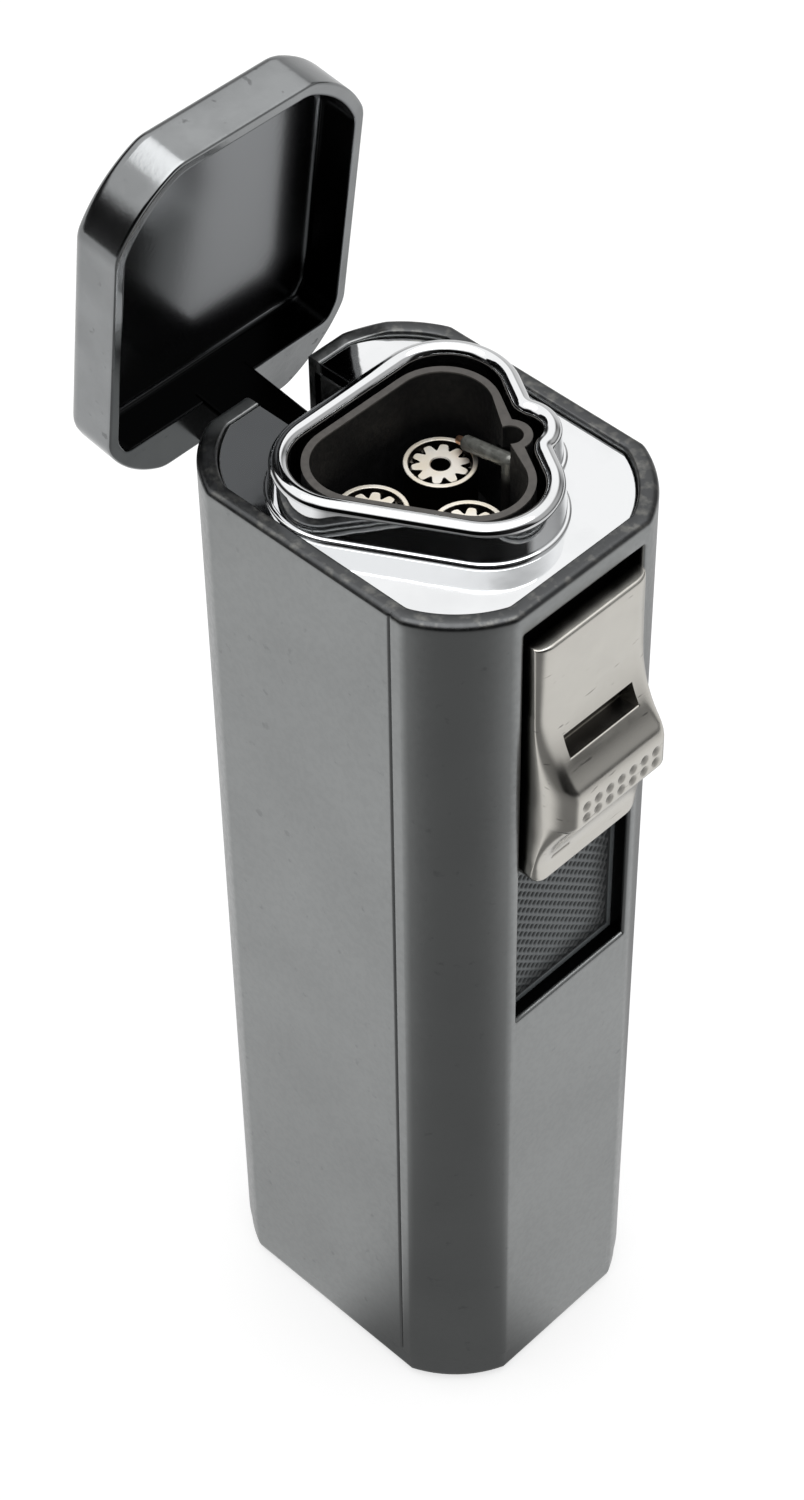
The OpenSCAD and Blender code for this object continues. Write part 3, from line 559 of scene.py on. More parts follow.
def turned_steel(finish):
    """Turned steel of the jets: pale faces with a little heat tint, painted shade on the sides, and fine turning
    marks.
    """
    made, tree, shader, place = finish_of("Turned steel", Metallic=1.0)
    tint = cloud(tree, place, 1.3, 3.0)
    marks = {"Vector": place, "Scale": 2.2, "Distortion": 0.6}
    lines = add(tree, "ShaderNodeTexWave", marks, bands_direction="Z").outputs["Fac"]
    heated = [c * share for c, share in zip(finish.jet[:3], (0.95, 0.91, 0.84))] + [1]
    tone = blend(tree, tint, finish.jet, heated)
    # Painted shade: sides that turn away from up go dark, tops stay pale
    side_shade = between(tree, axes(tree, surface_way(tree))[2], 0.35, 0.8)
    tone = blend(tree, side_shade, linear("#2A2522"), tone)
    coat(tree, shader, tone, between(tree, lines, 0, 1, 0.45, 0.58), lines, 0.004)
    return made


def plain_finish(slot):
    """The plain finish of a slot, made once: clouded colour, uneven gloss and fine grain of a real size."""
    name, code, dark, metallic, rough, size, depth = PLAIN[slot]
    if name in bpy.data.materials:
        return bpy.data.materials[name]
    made, tree, shader, place = finish_of(name, Metallic=metallic)
    grain = cloud(tree, place, size, 3.0)
    broad = cloud(tree, place, size * 8, 2.0)
    tone = blend(tree, broad, linear(code), darker(linear(code), dark))
    coat(tree, shader, tone, between(tree, grain, 0, 1, rough - 0.06, rough + 0.06), grain, depth)
    return made


def ceramic_shaded_below():
    """Glazed ceramic of the electrode's sleeve: glossy grey at the bend, painted shade below it."""
    made, tree, shader, place = finish_of("Sooty glazed ceramic", Metallic=0.35)
    top = span_mm("electrode_sleeve")[1][2]
    # Painted shade: dark below the bend, glossy grey above
    clear_of_shade = between(tree, axes(tree, place)[2], top - 1.9, top - 0.8)
    patchy = cloud(tree, place, 0.5, 3.0)
    tone = blend(tree, patchy, linear("#8E8F8A"), linear("#6F706B"))
    tone = blend(tree, clear_of_shade, linear("#1F1D1C"), tone)
    coat(tree, shader, tone, between(tree, clear_of_shade, 0, 1, 0.6, 0.2), patchy, 0.001)
    return made


# Plain finishes by slot: name, colour, darkest share, metallic, roughness, grain and relief in millimetres
PLAIN = {
    "copper": ("Bare copper wire", "#E9B795", 0.85, 1.0, 0.35, 0.2, 0.003),
    "brass": ("Turned brass", "#D2B06A", 0.85, 1.0, 0.3, 0.3, 0.004),
    "steel": ("Zinc-plated steel", "#BDBEC0", 0.85, 1.0, 0.3, 0.3, 0.004),
    "moulding": ("Moulded black nylon", "#242527", 0.8, 0.0, 0.5, 0.3, 0.006),
    "tube": ("Black silicone", "#2C2C2D", 0.8, 0.0, 0.6, 0.4, 0.005),
    "rubber": ("Nitrile rubber", "#1A1A1B", 0.8, 0.0, 0.7, 0.3, 0.006),
    "tank": ("Natural nylon", "#E4E0D2", 0.92, 0.0, 0.45, 0.5, 0.004),
}


def bevel_arc(leg, bulge, inset):
    """A soft bevel drawn in evenly, as a shallow arc through both ends of its chord: its leg, its radius, how
    far its middle lies from both sides, and half its turn."""
    drawn = leg - inset * (2 - SQRT2)
    rise = bulge * drawn / leg
    radius = (drawn**2 / 2 + rise**2) / (2 * rise)
    return drawn, radius, drawn / 2 + (radius - rise) / SQRT2, math.asin(drawn / SQRT2 / radius)


def half_plan(shape, facing, opening, inset, runs):
    """Plan of one half of the body, from its right seam round the face to its left seam: the straight side,
    the bevel, the strip up to the opening's edge, and the opening's span to the middle, eased where they
    meet; then the same mirrored. Also gives the outward directions."""
    leg, radius, reach, spread = bevel_arc(shape.corner_leg, shape.corner_bulge, inset)
    half_w, half_d = BODY_W / 2 - inset, BODY_D / 2 - inset
    turn = math.pi / 4 + spread * np.linspace(-1, 1, 81)
    arc = np.array([half_w - reach, half_d - reach]) + radius * ways(turn)
    seam, beyond = SEAM * facing, 2.0
    line = np.vstack([[[half_w, seam - beyond], [half_w, seam]], arc, [[0, half_d], [-beyond, half_d]]])
    run = lengths(line)
    side, bend, strip = run[[1, 2, -3]]
    at = np.concatenate(
        [
            side + (bend - side) * runs["side"],
            bend + (strip - bend) * runs["arc"],
            strip + (half_w - leg - opening) * runs["strip"],
            run[-2] - opening * (1 - runs["span"]),
        ]
    )
    ease = shape.corner_ease
    points = eased(line, at, ease)
    away = right_of(eased(line, at + ease / 2, 0) - eased(line, at - ease / 2, 0))
    flip, way = np.array([-1.0, 1.0]), np.array([1.0, facing])
    return [np.vstack([part, part[-2::-1] * flip]) * way for part in (points, away)]


def shell_half(shape, facing, opening, low, high, soft, top_of):
    """One shell of the body: the half plan times the height, with rounded rim, seam and foot. The cells of
    the opening between two heights are left out, and its edge rounds inwards by the soft radius. The rim
    follows top_of, which gives its height over the depth."""
    seam_round, rim_round = shape.seam_round, shape.rim_round
    wall, leg = shape.wall, shape.corner_leg
    foot_round, inner_round, rim_zone, far_off = 0.1, 0.15, 1.5, 99.0
    side_length = BODY_D / 2 - leg - SEAM * facing
    strip_length = BODY_W / 2 - leg - opening
    steps = edge_steps(seam_round) / side_length
    near = 1 - edge_steps(soft) / strip_length
    meet = shape.corner_ease / 2 * np.array([0.33, 0.67, 1.0])
    half_way = (near.min() + meet[-1] / strip_length) / 2
    runs = {
        "side": np.sort(np.concatenate([steps, np.linspace(steps[-1], 0.9, 5)[1:], 1 - meet / side_length])),
        "arc": np.linspace(0, 1, 33),
        "strip": np.sort(np.concatenate([near, meet / strip_length, [half_way]])),
        "span": np.linspace(0, 1, 6)[1:],
    }
    plan, away = half_plan(shape, facing, opening, 0.0, runs)
    inside, _ = half_plan(shape, facing, opening, wall, runs)
    above = RIM - rim_round
    rows = [
        BASE_TOP + edge_steps(foot_round),
        np.linspace(BASE_TOP + foot_round, low - soft, 8)[1:-1],
        low - edge_steps(soft),
        np.linspace(low, high, 8)[1:-1],
        RIM - edge_steps(rim_round),
    ]
    if high < above:
        rows += [high + edge_steps(soft), [(high + soft + above) / 2]]
    rows = np.unique(np.round(np.concatenate(rows), 5))[:, None]
    start = RIM - rim_zone
    stretch = (top_of(plan[:, 1]) - start) / (RIM - start)
    heights = np.where(rows > start, start + (rows - start) * stretch, rows)
    on_side = np.abs(np.abs(plan[:, 0]) - BODY_W / 2) < 1e-6
    on_face = np.abs(np.abs(plan[:, 1]) - BODY_D / 2) < 1e-6
    to_seam = np.where(on_side, np.abs(plan[:, 1] - SEAM), far_off)
    across = np.where(on_face, np.maximum(np.abs(plan[:, 0]) - opening, 0), far_off)
    beyond = np.maximum(np.maximum(low - rows, rows - high), 0)
    falls = [
        shoulder(to_seam[None], seam_round),
        shoulder(np.hypot(across, beyond), soft),
        shoulder(RIM - rows, rim_round),
        shoulder(rows - BASE_TOP, foot_round),
    ]
    depth = np.maximum.reduce(np.broadcast_arrays(*falls))[..., None]
    outer = raised(plan - away * depth, heights)
    inner = raised(inside + away * shoulder(RIM - rows, inner_round)[..., None], heights)
    mid_x, mid_z = (plan[1:, 0] + plan[:-1, 0]) / 2, (rows[1:] + rows[:-1]) / 2
    face_cell = on_face[1:] & on_face[:-1] & (np.abs(mid_x) < opening)
    return walled(outer, inner, ~((mid_z > low) & (mid_z < high) & face_cell))


def soft_block(low, high, r):
    """A block with rounded edges: rounded rectangles one above the other, drawn in at both ends."""
    low, high = np.array(low, float), np.array(high, float)
    rise, inset = np.array(quarters(r, smooth_arc(0, 90, 4))).T
    height = np.append(low[2] + rise, high[2] - rise[::-1])
    inset = np.append(inset, inset[::-1])[:, None, None]
    corner = np.concatenate([smooth_arc(90 * k, 90 * k + 90, 4) for k in range(4)])
    middle, half = (low + high)[:2] / 2, (high - low)[:2] / 2
    round_r = np.maximum(r - inset, 1e-3)
    flat = middle + np.repeat(QUADRANTS, 4, axis=0) * (half - inset - round_r) + round_r * ways(corner)
    return lofted(raised(flat, height[:, None]))


def plan_loop(half_w, half_d, leg, bulge, inset):
    """Closed plan with soft bevels, drawn in evenly: four straight sides and four shallow arcs."""
    _, radius, reach, spread = bevel_arc(leg, bulge, inset)
    turn = np.concatenate([math.pi * (k / 2 + 0.25) + spread * np.linspace(-1, 1, 81) for k in range(4)])
    core = np.array([half_w, half_d]) - inset - reach
    return np.repeat(QUADRANTS, 81, axis=0) * core + radius * ways(turn)


def by_angle(loop, middle, angles, ease):
    """A closed loop's points in the directions of the given angles about a middle, with its corners eased."""
    closed = np.vstack([loop, loop[:1]])
    total = lengths(closed)[-1]
    loop = eased(closed, np.arange(0, total, 0.04), ease, total)
    way = loop - middle
    around = np.arctan2(way[:, 1], way[:, 0])
    return np.stack([np.interp(angles, around, loop[:, k], period=2 * math.pi) for k in (0, 1)], -1)


def lid_solid(shape):
    """The lid, drawn shut and then swung open about its hinge. Its skin runs from the middle of the top over
    the rounded edge, down the side, under the rim, up the inside and over the ceiling to its middle. The
    hollow ends at a straight ledge near the hinge. The arm is a stadium outline carried along the pin. Also
    gives 1 for the points of the hollow and the arm."""
    low = RIM + 0.1
    high, wall, r = low + shape.lid_h, shape.lid_wall, shape.lid_round
    leg, bulge, ease = shape.corner_leg, shape.corner_bulge, shape.lid_ease
    half_w, half_d, middle = BODY_W / 2 - 0.3, BODY_D / 2, np.array([0.0, -1.6])
    rim_r, lip_r, fillet, flat = 0.16, 0.12, 0.35, 0.06
    ceiling, ledge = high - wall, HINGE[1] - 1.65
    arm_r, arm_w, arm_edge = 1.75, 4.1, 0.25

    def outside(inset):
        return plan_loop(half_w, half_d, leg, bulge, inset)

    def hollow(inset):
        loop = plan_loop(half_w, half_d, leg, bulge, wall + inset)
        return np.stack([loop[:, 0], np.minimum(loop[:, 1], ledge - inset)], -1)

    angles = np.linspace(-math.pi, math.pi, 720, endpoint=False)
    turn, small, around = smooth_arc(90, 0, 7), smooth_arc(0, 90, 4), smooth_arc(180, 360, 25)
    levels = [(outside, r + flat, high)]
    levels += [(outside, a, high - b) for a, b in quarters(r, turn)]
    levels += [(outside, 0, high - r - flat), (outside, 0, low + rim_r + flat)]
    levels += [(outside, a, low + b) for a, b in quarters(rim_r, small)]
    levels += [(outside, rim_r + flat, low)]
    inside = [(hollow, -lip_r - flat, low)]
    inside += [(hollow, -b, low + a) for a, b in quarters(lip_r, small)]
    inside += [(hollow, 0, low + lip_r + flat), (hollow, 0, ceiling - fillet - flat)]
    inside += [(hollow, a, ceiling - b) for a, b in quarters(fillet, small)]
    inside += [(hollow, fillet + flat, ceiling)]
    skin = np.stack([raised(by_angle(loop(d), middle, angles, ease), z) for loop, d, z in levels + inside])
    cap = lofted(skin)

    def arm_level(x, inset):
        reach, top = arm_r - inset, low + wall - inset - HINGE[2]
        section = np.vstack([reach * ways(around), [[reach, top], [-reach, top]]]) + HINGE[1:]
        return np.column_stack([np.full(len(section), x), section])

    ends = quarters(arm_edge, small)
    arm = [arm_level(a - arm_w / 2, b) for a, b in ends]
    arm += [arm_level(arm_w / 2 - a, b) for a, b in ends[::-1]]
    verts, quads, tris = joined(cap, lofted(np.stack(arm)))
    swing = np.array(Matrix.Rotation(-LID_OPEN, 3, "X"))
    in_hollow = np.zeros(len(verts), np.float32)
    in_hollow[(len(levels) + 1) * len(angles) : skin[..., 0].size] = 1
    in_hollow[len(cap[0]) - 1 :] = 1
    return ((verts - HINGE) @ swing.T + HINGE, quads, tris), in_hollow


def arc_run(middle, r, start, end, count):
    """Points of an arc from one angle to another, in degrees."""
    return np.array(middle) + r * ways(smooth_arc(start, end, count))


def guard_line(out):
    """Inside edge of the wind guard drawn out evenly: three round corners, and between two of them a lobe
    that two hollow fillets lead into. A corner or lobe grows by the distance, and a fillet shrinks by it."""
    corner_r, lobe_r, lobe_in, fillet = GUARD_IN, 1.58, 0.55, 1.3
    reach = (GUARD_HIGH[0] - GUARD_IN - GUARD_T - GUARD_FLARE) / math.cos(math.radians(30))
    lobe = (reach / 2 + corner_r - lobe_in) * heading(-32.6)
    away, along = heading(-30), heading(60)
    high = reach / 2 + corner_r + fillet
    gap = math.sqrt((lobe_r + fillet) ** 2 - (high - lobe @ away) ** 2)
    before = high * away + (lobe @ along - gap) * along
    after = before + 2 * gap * along
    lean = math.degrees(math.atan2(*(lobe - before)[::-1]))
    spots = [reach * heading(angle) for angle in CORNERS]
    return np.vstack(
        [
            arc_run(spots[2], corner_r + out, 210, 330, 37),
            arc_run(before, fillet - out, 150, lean, 13),
            arc_run(lobe, lobe_r + out, lean - 175, 115 - lean, 25),
            arc_run(after, fillet - out, 300 - lean, 150, 13),
            arc_run(spots[0], corner_r + out, -30, 90, 37),
            arc_run(spots[1], corner_r + out, 90, 210, 37),
        ]
    )


def guard_solid():
    """The wind guard: a section of spigot, flared foot, wall that leans in, and a half ellipse as crown that
    is rolled over to the inside, carried along its closed line."""
    low, seat, high = GUARD_LOW[2], PLATE_HIGH[2], GUARD_HIGH[2]
    foot, foot_h, foot_r, spigot = GUARD_T + GUARD_FLARE, 0.25, 0.13, 0.3
    lean, roll, crown_h, inner_h = 0.13, 0.28, 0.5, 1.0
    half, middle = (GUARD_T - lean + roll) / 2, (GUARD_T - lean - roll) / 2
    crown = smooth_arc(0, 180, 25)
    section = np.vstack(
        [
            [[0, low], [spigot, low], [spigot, seat], [foot, seat]],
            [[foot - a, seat + foot_h - b] for a, b in quarters(foot_r, smooth_arc(0, 90, 5))],
            [[GUARD_T, seat + foot_h]],
            np.stack([middle + half * np.cos(crown), high - crown_h * (1 - np.sin(crown))], -1),
            [[0, high - inner_h]],
        ]
    )
    lines = np.stack([guard_line(out) for out in section[:, 0]])
    return lofted(raised(lines, section[:, 1:]), ring=True)


def slide_section(low, high):
    """Side section of the thumb slide as height over the slide face against height on the body, from the back
    of its lower end to the back of its upper end: round foot, slope, nose, round crest, and the hollow rise
    that meets the crest without a corner. Gives the section with the pocket behind the round lip, the one
    without it, and the tip of the nose."""
    proud, ledge, tucked = 0.9, FRONT - SLIDE_LOW[1], -0.2
    bottom_r, top_r, crest_r, nose_r, rise_r, lip_r = 0.5, 0.22, 1.5, 0.7, 7.0, 0.13
    foot_z, knee_z, nose_z, rise_z = low + 1.2, low + 2.9, low + 6.3, low + 13.7
    nose = np.array([ledge - nose_r, nose_z])
    crest_turn = math.acos((proud + rise_r + crest_r - ledge) / (rise_r + crest_r))
    crest_z = rise_z - (rise_r + crest_r) * math.sin(crest_turn)
    lip_z, pocket_high, pocket_h, pocket_r = POCKET_LOW, POCKET_HIGH, 0.35, 0.1

    def rise(start_z, end_z, count):
        z = np.linspace(start_z, end_z, count)
        return np.stack([proud + rise_r - np.sqrt(rise_r**2 - (rise_z - z) ** 2), z], -1)

    bend = np.linspace(0, 1, 26)[:, None]
    slope_turn = -62.0
    slope_end = nose + nose_r * heading(slope_turn)
    foot, knee = np.array([proud, foot_z]), np.array([proud, knee_z])
    slope = (1 - bend) ** 2 * foot + 2 * bend * (1 - bend) * knee + bend**2 * slope_end
    below = np.vstack(
        [
            [[SLIDE_BACK, low], [tucked, low], [proud - bottom_r, low]],
            arc_run([proud - bottom_r, low + bottom_r], bottom_r, -90, 0, 9)[1:],
            slope,
            arc_run(nose, nose_r, slope_turn, 0, 18)[1:],
            np.linspace(nose + [nose_r, 0], [ledge, crest_z], 30)[1:],
            arc_run([ledge - crest_r, crest_z], crest_r, 0, math.degrees(crest_turn), 16)[1:],
            rise(rise_z - rise_r * math.sin(crest_turn), lip_z, 12)[1:],
        ]
    )
    plain = rise(lip_z, pocket_high, 22)[1:-1]
    lip_h, edge_h = rise(lip_z, pocket_high, 2)[:, 0]
    lip_turn = math.asin((rise_z - lip_z) / rise_r)
    lip = np.array([lip_h, lip_z]) - lip_r * ways(lip_turn)
    sunk = np.vstack(
        [
            arc_run(lip, lip_r, math.degrees(lip_turn), 185, 10)[1:],
            np.linspace(lip + [-lip_r, -0.06], [pocket_h, lip_z - 0.2], 4),
            np.linspace([pocket_h, lip_z - pocket_r], [pocket_h, pocket_high - pocket_r], 4),
            np.linspace([pocket_h + pocket_r, pocket_high], [edge_h - 0.04, pocket_high - 0.02], 3),
        ]
    )
    above = np.vstack(
        [
            rise(pocket_high, rise_z, 14),
            np.linspace([proud, rise_z], [proud, high - top_r], 8)[1:],
            arc_run([proud - top_r, high - top_r], top_r, 0, 90, 6)[1:],
            [[tucked, high], [SLIDE_BACK, high]],
        ]
    )
    return np.vstack([below, sunk, above]), np.vstack([below, plain, above]), nose + [nose_r, 0]


def slide_solid(shape):
    """The thumb slide: its side section carried across the width. At both ends it falls off in a quarter
    ellipse to a lower edge, whose height swells beside the nose. The lower corners are round. Two rows of
    round dimples sink into the nose along its normal, and a short groove lies above the foot. Also gives the
    share of painted shade, which darkens these hollows and the pocket and turns the upper end and the sides black."""
    low, high, half_w = SLIDE_LOW[2], SLIDE_HIGH[2], SLIDE_HIGH[0]
    flat_w, corner_r, corner_h, pocket_cols = half_w - 1.1, 0.9, 4.0, 42
    pocket, plain, tip = slide_section(low, high)
    out, up = plain.T
    normal = right_of(np.gradient(plain, axis=0))
    edge = np.interp(up - low, [0, 1.9, 5.0, 9.2, 12.4, 18.7], [0.4, 0.75, 1.25, 0.85, 0.5, 0.3])
    edge = np.minimum(edge, out)
    sheets = [(x, pocket) for x in np.linspace(0, POCKET_W - 0.02, pocket_cols)]
    sheets += [(x, plain) for x in np.linspace(POCKET_W, flat_w, 6)]
    for t in smooth_arc(0, 90, 15)[1:]:
        fall = np.stack([edge + (out - edge) * math.cos(t), up], -1)
        sheets.append((flat_w + (half_w - flat_w) * math.sin(t), fall))
    sheets.append((half_w, np.stack([np.full(len(up), SLIDE_BACK), up], -1)))
    columns = [np.column_stack([np.full(len(up), x), FRONT - line[:, 0], line[:, 1]]) for x, line in sheets]
    right = np.stack(columns, 1)
    x = right[..., 0]
    depth, pitch, dimple_r = shape.dimple_depth, 0.95, 0.36
    run = lengths(plain)
    tip_run = run[np.argmin(np.hypot(*(plain - tip).T))]
    spot = x - pitch * np.round(x / pitch)
    sink = np.zeros(x.shape)
    for offset in (0.35, 1.22):
        far = np.hypot(spot, 0.9 * (run - tip_run - offset)[:, None]) / dimple_r
        sink += np.where(x < 3.5 * pitch, np.clip(1 - far**2, 0, 1), 0) * depth
    # Painted shade: darker in the dimples, and in the pocket, more on its floor than on its wall
    grime = 0.75 * sink / depth
    sunk_rows = np.flatnonzero(np.any(pocket != plain, axis=1))
    pocket_wall, pocket_floor = sunk_rows[9:13], sunk_rows[13:]
    pocket_wall_shade, pocket_floor_shade = 0.1, 0.92
    grime[pocket_wall, :pocket_cols] = pocket_wall_shade
    grime[pocket_floor, :pocket_cols] = pocket_floor_shade
    # Painted shade: black on the upper end's face and on the sides
    grime[-2:] = 1
    grime[:, -1] = 1
    right[..., 1] += sink * normal[:, :1]
    right[..., 2] -= sink * normal[:, 1:]
    in_corner = np.clip(x - half_w + corner_r, 0, corner_r)
    lift = corner_r - np.sqrt(corner_r**2 - in_corner**2)
    right[..., 2] += lift * np.clip(1 - (up - low) / corner_h, 0, 1)[:, None]
    outer = np.concatenate([right[:, :0:-1] * np.array([-1.0, 1.0, 1.0]), right], 1)
    grime = np.concatenate([grime[:, :0:-1], grime], 1)
    groove_x, groove_z, groove_l, groove_r, groove_depth = -3.05, low + 1.9, 1.25, 0.15, 0.12
    share = np.clip((outer[..., 0] - groove_x) / groove_l, 0, 1)
    far = np.hypot(outer[..., 0] - groove_x - groove_l * share, outer[..., 2] - groove_z) / groove_r
    groove = np.clip(1 - far**2, 0, 1) ** 2 * (outer[..., 1] < FRONT - 0.5)
    outer[..., 1] += groove * groove_depth
    # Painted shade in the groove
    grime = np.maximum(grime, groove)
    inner = outer.copy()
    inner[..., 1] = FRONT - SLIDE_BACK + 0.1
    share = np.linspace(0, 1, len(outer))[:, None]
    inner[..., 2] = outer[0, :, 2] * (1 - share) + outer[-1, :, 2] * share
    face = walled(outer, inner, np.ones((outer.shape[0] - 1, outer.shape[1] - 1), bool))
    stem_w, stem_low, stem_high, stem_edge = 2.2, low + 7, low + 12, 0.1
    stem = soft_block(
        [-stem_w, FRONT - SLIDE_BACK, stem_low], [stem_w, SLIDE_HIGH[1], stem_high], stem_edge
    )
    solid = joined(face, stem)
    return solid, np.append(grime.ravel(), np.zeros(len(solid[0]) - grime.size)).astype(np.float32)


def thin_liner_rim(piece):
    """Thins the burner cup's wall towards its rim: the points of the inner upper edge, which lie on the three
    round corners, move straight out from the corners' middles."""
    mesh, thinner = piece.data, 0.2
    points = np.empty(3 * len(mesh.vertices), np.float32)
    mesh.vertices.foreach_get("co", points)
    points = points.reshape(-1, 3) * MM
    high = span_mm("burner_liner")[1]
    reach = (high[0] - LINER_OUT) / math.cos(math.radians(30))
    for angle in CORNERS:
        way = points[:, :2] - reach * heading(angle)
        far = np.linalg.norm(way, axis=1)
        edge = (np.abs(far - LINER_OUT + LINER_WALL) < 0.03) & (points[:, 2] > high[2] - 0.01)
        points[edge, :2] += thinner * way[edge] / far[edge, None]
    mesh.vertices.foreach_set("co", (points / MM).ravel())
    mesh.update()


def star_discs():
    """Three star discs. The outline is a ring of petals: the radius over the angle from a petal's axis holds
    at its round tip, falls along its side and levels out in the notch. The lower half reaches the barrel, the
    upper is set in."""
    low, high = span_mm("jet_discs")
    petals, bore, notch, tip, hole, edge = 10, 1.8, 1.18, 1.67, 0.55, 0.06
    shelf, set_in, past = high[2] - 0.36, high[2] - 0.3, 0.08
    ring = (high[0] - bore) / math.cos(math.radians(30))
    angle = np.linspace(0, 2 * math.pi, petals * 32, endpoint=False)
    off = np.degrees(np.abs((angle + math.pi / petals) % (2 * math.pi / petals) - math.pi / petals))
    shares = [1, 0.99, 0.95, 0.85, 0.68, 0.4, 0.15, 0.03, 0]
    fall = np.interp(off, [0, 4, 6.5, 8.5, 10, 12, 14.5, 16.5, 18], shares)
    wide = np.minimum(notch + (bore + past - notch) * fall, bore - 0.01)
    star = notch + (tip - notch) * fall
    bored = np.full(len(angle), hole)
    steps = [
        (wide, low[2]),
        (wide, shelf),
        (star, set_in),
        (star, high[2] - edge),
        (star - edge, high[2]),
        (bored + edge, high[2]),
        (bored, high[2] - edge),
        (bored, low[2]),
    ]
    disc = np.stack([raised(ways(angle) * r[:, None], z) for r, z in steps])
    spots = [np.append(ring * heading(corner), 0) for corner in CORNERS]
    return joined(*[lofted(disc + spot, ring=True) for spot in spots])


def panel_solid(shape):
    """The panel behind the window: a grid of width and height whose front sinks in short hatch strokes, set
    in rows that fall to the right. A narrow ridge runs round them at the window's edge, and the panel bends
    back with the shell at both sides. The stem's slot is left out."""
    low, high = PANEL_LOW[2], PANEL_HIGH[2]
    face, back = PANEL_LOW[1], PANEL_HIGH[1]
    slot_x, slot_low, slot_high, reach = 2.35, SLIDE_LOW[2] + 0.85, SLIDE_LOW[2] + 12.15, PANEL_HIGH[0]
    x = np.unique(np.round(np.concatenate([np.linspace(-reach, reach, 180), [-slot_x, slot_x]]), 4))
    z = np.unique(np.round(np.concatenate([np.linspace(low, high, 400), [slot_low, slot_high]]), 4))
    wide, tall = np.meshgrid(x, z)
    # The strokes are drawn a little coarser than the real 0.28 mm, which the picture can't hold
    row_pitch, stroke_pitch, fall = 0.71, 0.36, 0.874
    row = (tall + fall * wide) / row_pitch
    within = row - np.floor(row)
    band = np.clip(3.2 * np.sin(np.pi * within) - 1.3, 0, 1)
    stroke = 0.5 + 0.5 * np.cos(2 * np.pi * (wide / stroke_pitch - 0.9 * within + 0.5 * np.floor(row)))
    sunk = shape.hatch_depth * band * stroke**0.8
    border = np.minimum(tall - WINDOW_LOW, WINDOW_W / 2 - np.abs(wide))
    ridge_w, moat_w, gap = 0.32, 0.5, 0.05
    sunk = np.where(border < ridge_w, 0.0, np.where(border < moat_w, shape.hatch_depth, sunk))
    end = np.ones(1)
    runs = {"side": np.linspace(0, 1, 4), "arc": np.linspace(0, 1, 60), "strip": end, "span": end}
    plan, _ = half_plan(shape, -1.0, WINDOW_W / 2, shape.wall + gap, runs)
    quarter = plan[plan[:, 0] >= 0]
    order = np.argsort(quarter[:, 0])
    bend = np.interp(np.abs(wide), quarter[order, 0], quarter[order, 1])
    front = np.maximum(np.maximum(bend, face) + sunk, face)
    outer = np.stack([wide, np.minimum(front, back - gap), tall], -1)
    inner = np.stack([wide, np.full(wide.shape, back), tall], -1)
    mid_x, mid_z = (x[1:] + x[:-1]) / 2, (z[1:] + z[:-1]) / 2
    in_slot = ((mid_z > slot_low) & (mid_z < slot_high))[:, None] & (np.abs(mid_x) < slot_x)[None, :]
    return walled(outer, inner, ~in_slot)


def spring_solid():
    """The slide's return spring: a round wire carried along a helix of nine turns, as high and as wide as the
    CAD spring. Also gives the foot of its axis."""
    low, high = span_mm("slide_spring")
    turns, wire, steps, sides = 9, 0.36, 36, 12
    middle, r = (low + high)[:2] / 2, (high[0] - low[0] - wire) / 2
    share = np.linspace(0, 1, turns * steps + 1)[:, None]
    turn = 2 * math.pi * turns * share
    around = np.linspace(0, 2 * math.pi, sides, endpoint=False)
    out = r + wire / 2 * np.cos(around)
    rise = low[2] + wire / 2 * (1 + np.sin(around)) + (high[2] - low[2] - wire) * share
    coil = np.stack([middle[0] + out * np.cos(turn), middle[1] + out * np.sin(turn), rise], -1)
    return lofted(coil), np.append(middle, low[2])


class LIGHTER_OT_shells(bpy.types.Operator):
    """Build the front and rear shells and the base plate"""

    bl_idname = "lighter.shells"
    bl_label = "Body shells"

    def execute(self, context):
        shape = sizes_mm(context.scene)
        plating = satin_graphite(context.scene.lighter_finish)
        half_window, window_soft, notch_soft = WINDOW_W / 2, 0.26, 0.2
        front = shell_half(
            shape, -1.0, half_window, WINDOW_LOW, WINDOW_HIGH, window_soft, lambda y: np.full(len(y), RIM)
        )
        put("front_shell", front, plating, "case")
        # Behind the hinge the rim falls, so that the lid can swing open
        relief_y, lean = HINGE[1] + 0.45, math.tan(math.radians(15))
        notch, sill = shape.notch_w / 2, HINGE[2] - 1.85
        rear = shell_half(
            shape, 1.0, notch, sill, RIM + 1, notch_soft, lambda y: RIM - np.maximum(y - relief_y, 0) * lean
        )
        # Two ears, a front wall and a floor round the notch
        ear, edge, front_y, floor = 1.2, 0.08, HINGE[1] - 1.9, HINGE[2] - 2.4
        deep, under, foot = REAR_HIGH[1] - shape.wall / 2, PLATE_LOW[2], floor - ear
        blocks = [
            soft_block([notch, front_y - ear, foot], [notch + ear, deep, under], edge),
            soft_block([-notch - ear, front_y - ear, foot], [-notch, deep, under], edge),
            soft_block([-notch, front_y - ear, foot], [notch, front_y, under], edge),
            soft_block([-notch, front_y, foot], [notch, deep, floor], edge),
        ]
        put("rear_shell", joined(rear, *blocks), plating, "case")
        softened("base_plate", plating, "case", 0.0, 32)
        return {"FINISHED"}


class LIGHTER_OT_burner(bpy.types.Operator):
    """Build the chrome plate, the wind guard, the burner's cup, the jets and the electrode"""

    bl_idname = "lighter.burner"
    bl_label = "Burner"

    def execute(self, context):
        finish = context.scene.lighter_finish
        chrome = mirror_chrome(finish)
        put("wind_guard", guard_solid(), chrome, "case")
        softened("top_plate", chrome, "case", 0.06)
        thin_liner_rim(softened("burner_liner", black_oxide(finish), "case", 0.05))
        steel = turned_steel(finish)
        softened("jet_barrels", steel, "case", 0.05)
        put("jet_discs", star_discs(), steel, "case")
        softened("electrode_sleeve", ceramic_shaded_below(), "case", 0.04)
        softened("electrode_wire", plain_finish("copper"), "case", 0.03)
        return {"FINISHED"}


